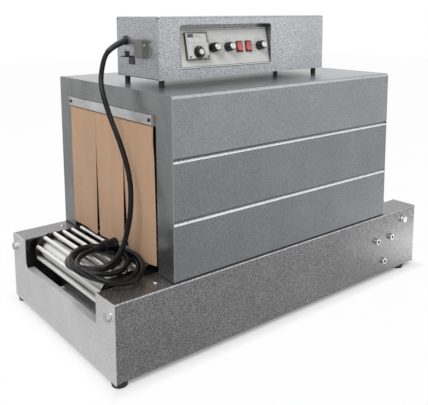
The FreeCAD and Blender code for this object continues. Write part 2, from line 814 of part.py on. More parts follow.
def bushes(x):
    """Bronze bushes in the drum's ends, running on the axle."""
    start, end = (x, drum_end_y - DRUM_END, AXIS_HEIGHT), (x, drum_end_y, AXIS_HEIGHT)
    bore = AXLE_DIAMETER / 2 + RUNNING_FIT
    return both_sides(ring(AXLE_DIAMETER / 2 + BUSH_WALL, bore, start, end))


def build_drive_end():
    wall = half_width - SHEET
    axle = disc(AXLE_DIAMETER / 2, (shaft_x, -wall, AXIS_HEIGHT), (shaft_x, wall, AXIS_HEIGHT))
    bolts = []
    for side in (-1, 1):
        seat = (shaft_x, side * half_width, AXIS_HEIGHT)
        bolts.extend(bolt(seat, (0, -side, 0), BOLT_DEPTH))
        deep = side * (half_width - BOLT_DEPTH)
        axle = axle.cut(disc(BOLT_DIAMETER / 2, seat, (shaft_x, deep, AXIS_HEIGHT)))
    save("drive_drum", drum(shaft_x))
    hub_end = -belt_half + HUB_WALL_GAP
    front_hub_end = -motor_chain_y - FRONT_HUB_LENGTH
    driven_y = -motor_chain_y - MOTOR_SPROCKET_WIDTH / 2
    centre = (shaft_x, driven_y, AXIS_HEIGHT)
    driven = motor_sprocket_wheel(centre, DRIVEN_TEETH)
    bore = AXLE_DIAMETER / 2 + LOOSE_FIT
    bore_ends = (shaft_x, driven_y - 1, AXIS_HEIGHT), (shaft_x, 0, AXIS_HEIGHT)
    driven = driven.cut(disc(bore, *bore_ends))
    front = chain_sprocket(shaft_x, front_hub_end).fuse(driven).removeSplitter()
    back = mirrored(chain_sprocket(shaft_x, hub_end), Y_AXIS)
    save("drive_sprockets", front, back)
    save("drive_bushes", *bushes(shaft_x))
    return axle, bolts


def build_tail_end():
    block_half = TENSION_BLOCK_WIDTH / 2
    axle_half = tension_y + block_half
    ends = (-shaft_x, -axle_half, AXIS_HEIGHT), (-shaft_x, axle_half, AXIS_HEIGHT)
    axle = disc(AXLE_DIAMETER / 2, *ends)
    save("tail_drum", drum(-shaft_x))
    hub_end = -belt_half + HUB_WALL_GAP
    save("tail_sprockets", *both_sides(chain_sprocket(-shaft_x, hub_end)))
    save("tail_bushes", *bushes(-shaft_x))
    blocks = []
    bolts = []
    for side in (-1, 1):
        y = side * tension_y
        half = TENSION_BLOCK / 2
        block = box((-shaft_x - half, -shaft_x + half), (y - block_half, y + block_half),
                    (AXIS_HEIGHT - half, AXIS_HEIGHT + half))
        hole = disc(AXLE_DIAMETER / 2, *ends)
        seat = (-half_length, y, AXIS_HEIGHT)
        thread_end = -shaft_x - AXLE_DIAMETER / 2 - 1
        thread = disc(BOLT_DIAMETER / 2, seat, (thread_end, y, AXIS_HEIGHT))
        blocks.append(block.cut([hole, thread]))
        bolts.extend(bolt(seat, (1, 0, 0), thread_end + half_length))
    save("tension_blocks", *blocks)
    return axle, bolts


def motor_sprocket_wheel(centre, teeth):
    seat = MOTOR_CHAIN_PITCH * SMALL_SEAT
    tooth = MOTOR_CHAIN_PITCH * SMALL_TOOTH
    face = sprocket_face(centre, teeth, MOTOR_CHAIN_PITCH, seat, tooth)
    return face.extrude(Vector(0, MOTOR_SPROCKET_WIDTH, 0))


def chain_band(radii, y, offset):
    """The area inside a closed band round the two motor sprockets, in an XZ plane."""
    first, second = Vector(GEARBOX_X, y, GEARBOX_Z), Vector(shaft_x, y, AXIS_HEIGHT)
    small, large = radii[0] + offset, radii[1] + offset
    line = second - first
    heading = math.atan2(line.z, line.x)
    lean = math.asin((large - small) / line.Length)

    def point(centre, radius, angle):
        return centre + Vector(radius * math.cos(angle), 0, radius * math.sin(angle))

    upper, lower = heading + math.pi / 2 + lean, heading - math.pi / 2 - lean
    edges = [
        Part.LineSegment(point(first, small, upper), point(second, large, upper)).toShape(),
        Part.Arc(point(second, large, upper), point(second, large, heading),
                 point(second, large, lower)).toShape(),
        Part.LineSegment(point(second, large, lower), point(first, small, lower)).toShape(),
        Part.Arc(point(first, small, lower), point(first, small, heading + math.pi),
                 point(first, small, upper)).toShape(),
    ]
    return Part.Face(Part.Wire(edges))


def build_gear_motor():
    """A round gearbox on the front panel, its motor lying along the rail, and the small chain."""
    wall = -half_width + SHEET
    face_y = wall + GEARBOX_DEPTH

    def on_axis(y):
        return (GEARBOX_X, y, GEARBOX_Z)

    gearbox = disc(GEARBOX_DIAMETER / 2, on_axis(wall), on_axis(face_y))
    boss = disc(GEARBOX_BOSS / 2, on_axis(face_y), on_axis(face_y + GEARBOX_BOSS_HEIGHT))
    bore_radius = OUTPUT_SHAFT_DIAMETER / 2 + RUNNING_FIT
    bore = disc(bore_radius, on_axis(wall + GEARBOX_WALL), on_axis(face_y + GEARBOX_BOSS_HEIGHT + 1))
    gearbox = gearbox.fuse(boss).cut(bore).removeSplitter()

    motor_radius = MOTOR_DIAMETER / 2
    motor_y = wall + motor_radius + 1
    neck_start = GEARBOX_X - GEARBOX_DIAMETER / 2 - MOTOR_NECK_LENGTH + GEARBOX_WALL
    neck_ends = (neck_start, motor_y, GEARBOX_Z), (GEARBOX_X - MOTOR_NECK / 2, motor_y, GEARBOX_Z)
    neck = disc(MOTOR_NECK / 2, *neck_ends).cut(gearbox)
    can_ends = (neck_start - MOTOR_LENGTH, motor_y, GEARBOX_Z), (neck_start, motor_y, GEARBOX_Z)
    save("gear_motor", gearbox, neck, disc(motor_radius, *can_ends))

    sprocket_y = -motor_chain_y - MOTOR_SPROCKET_WIDTH / 2
    wheel = motor_sprocket_wheel(on_axis(sprocket_y), MOTOR_TEETH)
    shaft_ends = on_axis(wall + GEARBOX_WALL + 2), on_axis(sprocket_y + MOTOR_SPROCKET_WIDTH + 2)
    shaft = disc(OUTPUT_SHAFT_DIAMETER / 2, *shaft_ends)
    save("motor_sprocket", wheel.fuse(shaft).removeSplitter())

    radii = []
    for teeth in (MOTOR_TEETH, DRIVEN_TEETH):
        radii.append(MOTOR_CHAIN_PITCH / (2 * math.sin(math.pi / teeth)))
    half_plate = MOTOR_CHAIN_PITCH * SMALL_CHAIN_PLATE
    gap = MOTOR_SPROCKET_WIDTH / 2 + SOFT_GAP
    bands = []
    for y in (-motor_chain_y - gap - MOTOR_CHAIN_PLATE, -motor_chain_y + gap):
        band = chain_band(radii, y, half_plate).cut(chain_band(radii, y, -half_plate))
        bands.append(band.extrude(Vector(0, MOTOR_CHAIN_PLATE, 0)))
    save("motor_chain", *bands)


def build_hood():
    def side_skin(y, downwards):
        """The skin of one side of the hood, with its V-grooves."""
        inward = -math.copysign(GROOVE_DEPTH, y)
        points = [(y, hood_bottom)]
        for height in GROOVE_HEIGHTS:
            z = hood_bottom + height
            points.extend([(y, z - GROOVE_DEPTH), (y + inward, z), (y, z + GROOVE_DEPTH)])
        points.append((y, hood_top))
        return points[::-1] if downwards else points

    outline = side_skin(hood_side, False) + side_skin(-hood_side, True)
    start_x = -hood_half + SHEET
    skin = [(start_x, y, z) for y, z in outline]
    groove_bends = [GROOVE_BEND] * (3 * len(GROOVE_HEIGHTS))
    corner = HOOD_CORNER - SHEET
    bends = groove_bends + [corner, corner] + groove_bends
    length = HOOD_LENGTH - 2 * SHEET
    save("hood_shell", folded_sheet(skin, X_AXIS, SHEET, bends, (length, 0, 0)))

    frame_x = hood_half - SHEET
    outline = (
        (frame_x, -hood_side, hood_bottom),
        (frame_x, -mouth_half, hood_bottom),
        (frame_x, -mouth_half, mouth_top),
        (frame_x, mouth_half, mouth_top),
        (frame_x, mouth_half, hood_bottom),
        (frame_x, hood_side, hood_bottom),
        (frame_x, hood_side, hood_top),
        (frame_x, -hood_side, hood_top),
    )
    radii = [0, 0, MOUTH_CORNER, MOUTH_CORNER, 0, 0, HOOD_CORNER, HOOD_CORNER]
    frame = rounded_face(outline, radii)
    save("hood_end_frames", *both_ends(frame.extrude(Vector(SHEET, 0, 0))))

    gasket_y = (-hood_side, -hood_side + GASKET_WIDTH)
    gasket = box((-hood_half, hood_half), gasket_y, (rail_top, hood_bottom))
    save("hood_gaskets", *both_sides(gasket))

    liner_half = hood_half - SHEET
    flange = hood_side - SHEET - SOFT_GAP
    skin = (
        (-liner_half, -flange, hood_bottom),
        (-liner_half, -liner_side, hood_bottom),
        (-liner_half, -liner_side, liner_top),
        (-liner_half, liner_side, liner_top),
        (-liner_half, liner_side, hood_bottom),
        (-liner_half, flange, hood_bottom),
    )
    liner = folded_sheet(skin, X_AXIS, LINER_SHEET, [BEND] * 4, (2 * liner_half, 0, 0))
    save("chamber_liner", liner)

    wool_half = liner_half - SOFT_GAP
    outer = hood_side - GROOVE_DEPTH - SHEET - SOFT_GAP
    inner = liner_side + LINER_SHEET + SOFT_GAP
    bottom = hood_bottom + LINER_SHEET + SOFT_GAP + BEND
    top = hood_top - SHEET - SOFT_GAP
    ceiling = liner_top + LINER_SHEET + SOFT_GAP
    blanket = box((-wool_half, wool_half), (-outer, outer), (bottom, top))
    blanket = blanket.cut(box((-hood_half, hood_half), (-inner, inner), (bottom - 1, ceiling)))
    save("hood_insulation", blanket)


def build_heaters():
    tubes = []
    caps = []
    radius = HEATER_DIAMETER / 2
    seats = [(x, upper_heater_z, bracket_y) for x in UPPER_HEATERS_X]
    seats.extend((x, AXIS_HEIGHT, inner_wall_back) for x in LOWER_HEATERS_X)
    for x, z, seat in seats:
        end = seat + CAP_POCKET
        tubes.append(disc(radius, (x, -end, z), (x, end, z)))
        cap = faceted_bar(CAP_DIAMETER / 2, ROD_SIDES, (x, seat, z), (x, seat + CAP_LENGTH, z))
        pocket_radius = radius / math.cos(math.pi / ROD_SIDES)
        pocket = faceted_bar(pocket_radius, ROD_SIDES, (x, seat - 1, z), (x, end, z))
        caps.extend(both_sides(cap.cut(pocket)))
    save("heater_tubes", *tubes)
    save("heater_end_caps", *caps)

    start = UPPER_HEATERS_X[0] - BRACKET_MARGIN
    length = UPPER_HEATERS_X[-1] + BRACKET_MARGIN - start
    skin = (
        (start, -bracket_y + SHEET, liner_top - BRACKET_HEIGHT),
        (start, -bracket_y + SHEET, liner_top),
        (start, -liner_side + BEND + SOFT_GAP, liner_top),
    )
    bracket = folded_sheet(skin, X_AXIS, SHEET, [BRACKET_BEND], (length, 0, 0))
    for x in UPPER_HEATERS_X:
        hole = radius + RUNNING_FIT
        bracket = bracket.cut(disc(hole, (x, -liner_side, upper_heater_z), (x, 0, upper_heater_z)))
    save("upper_heater_brackets", *both_sides(bracket))

    tray_half = TRAY_LENGTH / 2
    floor = AXIS_HEIGHT - TRAY_DROP
    skin = (
        (-tray_half, -tray_side, floor + TRAY_WALL),
        (-tray_half, -tray_side, floor),
        (-tray_half, tray_side, floor),
        (-tray_half, tray_side, floor + TRAY_WALL),
    )
    tray = folded_sheet(skin, X_AXIS, LINER_SHEET, [BEND] * 2, (TRAY_LENGTH, 0, 0))
    hangers = []
    hanger_top = AXIS_HEIGHT + radius + HANGER_ABOVE_HEATER
    hanger_side = tray_side - HANGER_INSET
    hole = radius + RUNNING_FIT
    for x in LOWER_HEATERS_X:
        for y in (-hanger_side, hanger_side):
            strap_x = (x - HANGER_WIDTH / 2, x + HANGER_WIDTH / 2)
            strap = box(strap_x, (y, y + SHEET), (floor + LINER_SHEET, hanger_top))
            ends = (x, y - 1, AXIS_HEIGHT), (x, y + SHEET + 1, AXIS_HEIGHT)
            hangers.append(strap.cut(disc(hole, *ends)))
    save("lower_heater_tray", tray, *hangers)

    seat = (PROBE_X, liner_side, upper_heater_z)
    tip = (PROBE_X, liner_side - PROBE_LENGTH, upper_heater_z)
    collar_end = (PROBE_X, liner_side - PROBE_COLLAR_LENGTH, upper_heater_z)
    stem = disc(PROBE_DIAMETER / 2, tip, seat)
    collar = disc(PROBE_COLLAR_DIAMETER / 2, collar_end, seat)
    save("temperature_probe", stem.fuse(collar).removeSplitter())


def curtain_screw_spots():
    """The two screws that hold a bar and its hem to the end frame."""
    inset = curtain_half - BAR_SCREW_INSET
    return [(hem_face + BAR_THICKNESS, y, bar_middle) for y in (-inset, inset)]


def build_curtains():
    """The cloth is hemmed double under each bar, and hangs in strips from its lower edge."""
    half = curtain_half
    hem_bottom = mouth_top - HEM_BELOW_MOUTH
    bar_top = bar_bottom + BAR_HEIGHT
    bar = box((hem_face, hem_face + BAR_THICKNESS), (-half, half), (bar_bottom, bar_top))
    hem = box((hood_half, hem_face), (-half, half), (hem_bottom, bar_top - HEM_BELOW_BAR_TOP))
    depth = hem_face + BAR_THICKNESS - hood_half
    holes = [screw_hole(spot, X_AXIS, BAR_SCREW, depth) for spot in curtain_screw_spots()]
    save("curtain_bars", *both_ends(bar.cut(holes)))
    save("curtain_headers", *both_ends(hem.cut(holes)))
    pitch = 2 * curtain_half / STRIPS_PER_MOUTH
    strip_x = (hem_face - CLOTH, hem_face)
    strip_z = (rod_top + CURTAIN_CLEAR_OF_RODS, hem_bottom - STRIP_HINGE_GAP)
    for index in range(STRIPS_PER_MOUTH):
        start = -half + index * pitch
        strip = box(strip_x, (start + STRIP_GAP / 2, start + pitch - STRIP_GAP / 2), strip_z)
        save("outfeed_curtain_strip_%d" % (index + 1), strip)
        save("infeed_curtain_strip_%d" % (index + 1), mirrored(strip, X_AXIS))


def build_control_box():
    skin = (
        (BOX_LEFT, box_back, box_bottom),
        (BOX_LEFT, box_back, box_top),
        (BOX_LEFT, BOX_FRONT, box_top),
        (BOX_LEFT, BOX_FRONT, box_bottom),
    )
    corner = BOX_CORNER - SHEET
    shell = folded_sheet(skin, X_AXIS, SHEET, [corner] * 2, (BOX_LENGTH, 0, 0))
    left = BOX_LEFT + CUT_OUT_LEFT
    right = left + CUT_OUT_LENGTH
    bottom = box_bottom + CUT_OUT_BOTTOM
    top = bottom + CUT_OUT_HEIGHT
    corners = ((left, bottom), (right, bottom), (right, top), (left, top))
    outline = [(x, BOX_FRONT - 1, z) for x, z in corners]
    window = prism(outline, (0, SHEET + 2, 0), CUT_OUT_CORNER)
    top_holes = [screw_hole(spot, Z_AXIS, BOX_SCREW, SHEET) for spot in box_screw_spots()]
    save("control_box_shell", shell.cut([window] + top_holes))

    inside_top = box_top - SHEET
    skin = (
        (BOX_LEFT, BOX_FRONT + SHEET, inside_top),
        (BOX_LEFT, BOX_FRONT + SHEET, box_bottom),
        (box_right, BOX_FRONT + SHEET, box_bottom),
        (box_right, BOX_FRONT + SHEET, inside_top),
    )
    tray = folded_sheet(skin, -Y_AXIS, SHEET, [BEND] * 2, (0, BOX_DEPTH - 2 * SHEET, 0))
    reach = BOX_CORNER - SHEET
    for y in (BOX_FRONT + SHEET, box_back - SHEET):
        strip_z = (box_top - BOX_CORNER, box_top)
        tray = tray.cut(box((BOX_LEFT - 1, box_right + 1), (y - reach, y + reach), strip_z))
    gland_hole = disc(GLAND_THREAD / 2, *gland_axis(-1, SHEET + 1))
    save("control_box_base", tray.cut(gland_hole))

    back = BOX_FRONT + SHEET + RECESS_DEPTH
    wall = RECESS_WALL
    outer = box((left - wall, right + wall), (BOX_FRONT + SHEET, back), (bottom - wall, top + wall))
    inner = box((left, right), (BOX_FRONT, back + 1), (bottom, top))
    rear = box((left, right), (back - wall, back), (top - RECESS_REAR, top))
    save("panel_recess", outer.cut(inner).fuse(rear).removeSplitter())


def box_screw_spots():
    """Small screws near the corners of the control box's top."""
    spots = []
    for x in (BOX_LEFT + BOX_SCREW_INSET, box_right - BOX_SCREW_INSET):
        for y in (BOX_FRONT + BOX_SCREW_INSET, box_back - BOX_SCREW_INSET):
            spots.append((x, y, box_top))
    return spots


def on_panel(shape):
    """Moves a shape from the tilted panel's own frame to its place in the control box."""
    placed = shape.copy()
    placed.Placement = Placement(Vector(panel_left, panel_y, panel_z), Rotation(X_AXIS, -PANEL_TILT))
    return placed


def panel_box(x, rise, width, height, y):
    """A box in the panel's frame, centred at x and rise."""
    return box((x - width / 2, x + width / 2), y, (rise - height / 2, rise + height / 2))


def panel_disc(x, rise, diameter, y):
    """A round bar in the panel's frame, square to its face."""
    return disc(diameter / 2, (x, y[0], rise), (x, y[1], rise))


def panel_bar(x, rise, diameter, sides, y):
    """The same with flat sides."""
    return faceted_bar(diameter / 2, sides, (x, y[0], rise), (x, y[1], rise))


def build_panel():
    plate = box((0, panel_length), (0, SHEET), (0, PANEL_HEIGHT))
    through = (-1, SHEET + 1)
    cuts = [panel_box(CONTROLLER_X, CONTROLLER_RISE, CONTROLLER_BODY, CONTROLLER_BODY, through)]
    for x in KNOB_X.values():
        cuts.append(panel_disc(x, KNOB_RISE, POT_THREAD, through))
    for x in ROCKER_X.values():
        cuts.append(panel_box(x, KNOB_RISE, ROCKER_BODY[0], ROCKER_BODY[1], through))
    save("panel_plate", on_panel(plate.cut(cuts)))
    build_controller()
    build_knobs()
    build_rockers()


def build_controller():
    """A panel-mounted controller: a deep bezel with a meter window above a set-point dial."""
    face = -CONTROLLER_PROUD
    bezel = panel_box(CONTROLLER_X, CONTROLLER_RISE, CONTROLLER_FACE, CONTROLLER_FACE, (face, 0))
    front_edges = [edge for edge in bezel.Edges if edge.BoundBox.YMax < face + 0.01]
    bezel = bezel.makeChamfer(CONTROLLER_CORNER, front_edges)
    body_y = (0, SHEET + CONTROLLER_DEPTH)
    body = panel_box(CONTROLLER_X, CONTROLLER_RISE, CONTROLLER_BODY, CONTROLLER_BODY, body_y)
    window_y = (face - 1, face + WINDOW_RECESS)
    window_cut = panel_box(CONTROLLER_X, WINDOW_RISE, WINDOW_LENGTH, WINDOW_HEIGHT, window_y)
    bore_y = (face - 1, face + DIAL_STEM_LENGTH + 1)
    bore = panel_disc(CONTROLLER_X, DIAL_RISE, DIAL_STEM + 2 * RUNNING_FIT, bore_y)
    controller = bezel.fuse(body).cut([window_cut, bore]).removeSplitter()
    save("temperature_controller", on_panel(controller))
    glass_y = (face + WINDOW_SET_BACK, face + WINDOW_SET_BACK + WINDOW_SHEET)
    glass = panel_box(CONTROLLER_X, WINDOW_RISE, WINDOW_LENGTH, WINDOW_HEIGHT, glass_y)
    save("meter_window", on_panel(glass))

    back = face - DIAL_OFF_FACE
    front = back - DIAL_LENGTH
    ring_y = (back, back - DIAL_RING_SHEET)
    skirt = panel_disc(CONTROLLER_X, DIAL_RISE, DIAL_RING_DIAMETER, ring_y)
    grip = chamfered_grip(CONTROLLER_X, DIAL_RISE, DIAL_DIAMETER, DIAL_FRONT_DIAMETER, back, front)
    cap_y = (front, front - KNOB_CAP_HEIGHT)
    cap = panel_disc(CONTROLLER_X, DIAL_RISE, DIAL_CAP_DIAMETER, cap_y)
    stem = panel_disc(CONTROLLER_X, DIAL_RISE, DIAL_STEM, (back, face + DIAL_STEM_LENGTH))
    save("temperature_dial", on_panel(skirt.fuse([grip, cap, stem]).removeSplitter()))


def chamfered_grip(x, rise, back_diameter, front_diameter, back, front):
    """A round grip whose front rim is chamfered."""
    grip = cone(back_diameter / 2, front_diameter / 2, (x, back, rise), (x, front, rise))
    rim = [edge for edge in grip.Edges if edge.BoundBox.YMax < front + 0.01]
    return grip.makeChamfer(KNOB_CHAMFER, rim)


def flute(x, radius, angle, y):
    """A V-shaped cut along a knob's side, open outwards."""
    across = math.pi / KNOB_FLUTES / 2
    outline = []
    for distance, turn in ((radius - FLUTE_DEPTH, 0), (radius + 2, across), (radius + 2, -across)):
        corner_x = x + distance * math.sin(angle + turn)
        corner_z = KNOB_RISE + distance * math.cos(angle + turn)
        outline.append((corner_x, y[0], corner_z))
    return prism(outline, (0, y[1] - y[0], 0))


def fluted_knob(x):
    """A moulded knob with flutes, an inset cap and the spindle that it turns."""
    back = -KNOB_OFF_PANEL
    front = back - KNOB_LENGTH
    front_diameter = KNOB_DIAMETER - 2 * KNOB_TAPER
    body = chamfered_grip(x, KNOB_RISE, KNOB_DIAMETER, front_diameter, back, front)
    cuts = []
    for index in range(KNOB_FLUTES):
        angle = 2 * math.pi * index / KNOB_FLUTES
        cuts.append(flute(x, KNOB_DIAMETER / 2, angle, (back - KNOB_SKIRT, front - 1)))
    socket_end = front + KNOB_SOCKET_WALL
    cuts.append(panel_bar(x, KNOB_RISE, POT_NUT + 2, ROD_SIDES, (back + 1, back - POT_NUT_HEIGHT)))
    cuts.append(panel_bar(x, KNOB_RISE, SPINDLE_DIAMETER, SHANK_SIDES, (back, socket_end)))
    cap = panel_disc(x, KNOB_RISE, KNOB_CAP_DIAMETER, (front, front - KNOB_CAP_HEIGHT))
    spindle_y = (socket_end, SHEET + POT_DEPTH - 2)
    spindle = panel_bar(x, KNOB_RISE, SPINDLE_DIAMETER, SHANK_SIDES, spindle_y)
    return [body.cut(cuts), cap, spindle]


def build_knobs():
    """Three regulator knobs, and behind the panel the board with their regulators."""
    board_start = SHEET + POT_DEPTH
    board_y = (board_start, board_start + BOARD_SHEET)
    positions = list(KNOB_X.values())
    board_x = (positions[0] - BOARD_MARGIN, positions[-1] + BOARD_MARGIN)
    board = box(board_x, board_y, (KNOB_RISE - BOARD_HEIGHT / 2, KNOB_RISE + BOARD_HEIGHT / 2))
    cut_width, cut_height = [size + 2 * BOARD_CUT_GAP for size in ROCKER_BODY]
    for x in ROCKER_X.values():
        board = board.cut(panel_box(x, KNOB_RISE, cut_width, cut_height, board_y))
    solids = [board]
    bore = (SPINDLE_DIAMETER + 2 * RUNNING_FIT) / math.cos(math.pi / ROD_SIDES)
    for name, x in KNOB_X.items():
        save(name, *[on_panel(solid) for solid in fluted_knob(x)])
        body = panel_bar(x, KNOB_RISE, POT_DIAMETER, ROD_SIDES, (SHEET, board_start))
        thread = panel_bar(x, KNOB_RISE, POT_THREAD, ROD_SIDES, (-POT_NUT_HEIGHT, SHEET))
        nut = panel_bar(x, KNOB_RISE, POT_NUT, 6, (-POT_NUT_HEIGHT + POT_NUT_SET_BACK, 0))
        hole = panel_bar(x, KNOB_RISE, bore, ROD_SIDES, (-POT_NUT_HEIGHT - 1, board_start - 1))
        solids.append(body.fuse([thread, nut]).cut(hole).removeSplitter())
    save("regulator_board", *[on_panel(solid) for solid in solids])


def rocker_key(x):
    """A rocker's key: a shallow V outside, and a narrower root inside the housing."""
    half = ROCKER_KEY[1] / 2
    shoulder = half - ROCKER_FOOT
    side = x - ROCKER_KEY[0] / 2
    outline = (
        (side, -ROCKER_PROUD, KNOB_RISE - half),
        (side, -ROCKER_DIP, KNOB_RISE),
        (side, -ROCKER_PROUD, KNOB_RISE + half),
        (side, ROCKER_FOOT, KNOB_RISE + shoulder),
        (side, ROCKER_ROOT, KNOB_RISE),
        (side, ROCKER_FOOT, KNOB_RISE - shoulder),
    )
    key = prism(outline, (ROCKER_KEY[0], 0, 0))
    key.rotate(Vector(x, ROCKER_PIVOT, KNOB_RISE), X_AXIS, ROCKER_TILT)
    return key


def build_rockers():
    """Rocker switches: a framed housing through the panel, and the key that tips in it."""
    housings = []
    cavity_width = ROCKER_KEY[0] + 2 * ROCKER_KEY_GAP
    cavity_height = ROCKER_KEY[1] + 2 * ROCKER_CAVITY_END_GAP
    cavity_y = (-ROCKER_FRAME - 1, ROCKER_CAVITY_DEPTH)
    for name, x in ROCKER_X.items():
        frame = panel_box(x, KNOB_RISE, *ROCKER_FACE, (-ROCKER_FRAME, 0))
        body = panel_box(x, KNOB_RISE, *ROCKER_BODY, (0, ROCKER_DEPTH))
        cavity = panel_box(x, KNOB_RISE, cavity_width, cavity_height, cavity_y)
        housings.append(on_panel(frame.fuse(body).cut(cavity).removeSplitter()))
        save(name, on_panel(rocker_key(x)))
    save("rocker_housings", *housings)


def gland_axis(start, end):
    """Two points on the gland's axis, as distances inwards from the box's left end."""
    return (BOX_LEFT + start, GLAND_Y, GLAND_Z), (BOX_LEFT + end, GLAND_Y, GLAND_Z)


def build_gland():
    """A flanged gland whose dome leans the way the cord leaves it."""
    flange = disc(GLAND_FLANGE / 2, *gland_axis(-GLAND_FLANGE_SHEET, 0))
    tip = Vector(*CORD_ROUTE[0])
    heading = (Vector(*CORD_ROUTE[1]) - tip).normalize()
    start_radius, end_radius = [diameter / 2 for diameter in GLAND_DOME]
    dome = cone(start_radius, end_radius, tip - heading * GLAND_DOME_LENGTH, tip)
    inside = box((BOX_LEFT, 0), (GLAND_Y - 50, GLAND_Y + 50), (box_bottom, box_top))
    thread = disc(GLAND_THREAD / 2, *gland_axis(0, GLAND_THREAD_LENGTH))
    nut = faceted_bar(GLAND_FLANGE / 2, 6, *gland_axis(SHEET, SHEET + GLAND_NUT_HEIGHT))
    save("cable_gland", flange.fuse([dome.cut(inside), thread, nut]).removeSplitter())


def side_cover_screw_spot():
    return BOX_LEFT - SIDE_COVER[0] / 2, SIDE_COVER_Y, side_cover_z + COVER_SCREW_RISE


def build_side_cover():
    """A small closed cover beside the gland, held by one screw."""
    reach, width, height = SIDE_COVER
    y, z = SIDE_COVER_Y, side_cover_z
    corners = ((y, z), (y + width, z), (y + width, z + height), (y, z + height))
    outline = [(BOX_LEFT, corner_y, corner_z) for corner_y, corner_z in corners]
    cover = prism(outline, (-reach, 0, 0), SIDE_COVER_CORNER)
    hole = screw_hole(side_cover_screw_spot(), -Y_AXIS, COVER_SCREW, COVER_SCREW_LENGTH)
    save("side_cover", cover.cut(hole))


def build_earth_terminal():
    """A bent bracket with a stud, a washer and a wing nut."""
    start_y = EARTH_Y - EARTH_WIDTH / 2
    top = earth_z + SHEET
    skin = (
        (BOX_LEFT - EARTH_REACH, start_y, top),
        (BOX_LEFT, start_y, top),
        (BOX_LEFT, start_y, earth_z - EARTH_DROP),
    )
    bracket = folded_sheet(skin, Y_AXIS, SHEET, [0.5], (0, EARTH_WIDTH, 0))
    stud_x = BOX_LEFT - EARTH_STUD_REACH

    def on_stud(rise):
        return (stud_x, EARTH_Y, top + rise)

    radius = EARTH_STUD / 2
    hub_start = EARTH_WASHER_SHEET
    hub_end = hub_start + WING_HUB_HEIGHT
    stud = faceted_bar(radius, ROD_SIDES, on_stud(0), on_stud(EARTH_STUD_LENGTH))
    washer = ring(EARTH_WASHER / 2, radius, on_stud(0), on_stud(EARTH_WASHER_SHEET))
    hub = ring(WING_HUB / 2, radius, on_stud(hub_start), on_stud(hub_end))
    wings = []
    for side in (-1, 1):
        root, tip = side * (WING_HUB / 2 - 0.6), side * EARTH_WIDTH / 2
        x = stud_x - WING_SHEET / 2
        outline = (
            (x, EARTH_Y + root, top + hub_start + 1),
            (x, EARTH_Y + tip, top + hub_end + 1),
            (x, EARTH_Y + tip * 0.78, top + 2 * hub_end),
            (x, EARTH_Y + root, top + hub_end),
        )
        wings.append(prism(outline, (WING_SHEET, 0, 0)))
    save("earth_terminal", bracket, stud, washer, hub.fuse(wings).removeSplitter())


def build_screws():
    screws = [screw(spot, -Y_AXIS, GEARBOX_SCREW, SHEET) for spot in gearbox_screw_spots()]
    rail_y = half_width - RAIL_SCREW_INSET
    for x in (-RAIL_SCREW_X, RAIL_SCREW_X):
        for y in (-rail_y, rail_y):
            screws.append(screw((x, y, rail_top), Z_AXIS, RAIL_SCREW, SHEET))
    for spot in box_screw_spots():
        screws.append(screw(spot, Z_AXIS, BOX_SCREW, SHEET))
    bar_depth = hem_face + BAR_THICKNESS - hood_half
    for spot in curtain_screw_spots():
        screws.extend(both_ends(screw(spot, X_AXIS, BAR_SCREW, bar_depth)))
    cover_screw = screw(side_cover_screw_spot(), -Y_AXIS, COVER_SCREW, COVER_SCREW_LENGTH)
    save("small_screws", *screws, cover_screw)


def build_cord():
    rest = rod_top + SOFT_GAP
    save("power_cord", swept_tube(CORD_ROUTE, CORD_DIAMETER))
    x, y = COIL_CENTRE
    long_end = Vector(x, y + COIL_RADII[1], rest)
    short_end = Vector(x + COIL_RADII[0], y, rest)
    ellipse = Part.Ellipse(long_end, short_end, Vector(x, y, rest))
    coil = Part.Face(Part.Wire(ellipse.toShape())).extrude(Vector(0, 0, COIL_HEIGHT))
    save("power_cord_coil", coil)


def build_plug():
    """A two-pin plug: a tapered neck where the cord goes in, a flared body and the pins."""
    x, y, z = PLUG_START
    neck_end = x + PLUG_NECK_LENGTH
    body_end = neck_end + PLUG_BODY_LENGTH
    neck = cone(PLUG_NECK[0] / 2, PLUG_NECK[1] / 2, (x, y, z), (neck_end, y, z))
    body = cone(PLUG_BODY[0] / 2, PLUG_BODY[1] / 2, (neck_end, y, z), (body_end, y, z))
    pins = []
    for side in (-1, 1):
        pin_y = y + side * PIN_SPACING / 2
        ends = (body_end, pin_y, z), (body_end + PIN_LENGTH, pin_y, z)
        pins.append(faceted_bar(PIN_DIAMETER / 2, ROD_SIDES, *ends))
    save("power_plug", neck.fuse([body] + pins).removeSplitter())


os.makedirs("parts", exist_ok=True)
build_base()
build_chains()
build_chain_guides()
drive_axle, drive_bolts = build_drive_end()
tail_axle, tension_bolts = build_tail_end()
save("axles", drive_axle, tail_axle)
save("hex_bolts", *drive_bolts, *tension_bolts)
build_gear_motor()
build_hood()
build_heaters()
build_curtains()
build_control_box()
build_panel()
build_gland()
build_side_cover()
build_earth_terminal()
build_screws()
build_cord()
build_plug()
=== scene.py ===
import json
import math

import bpy
import bmesh
from mathutils import Matrix, Vector


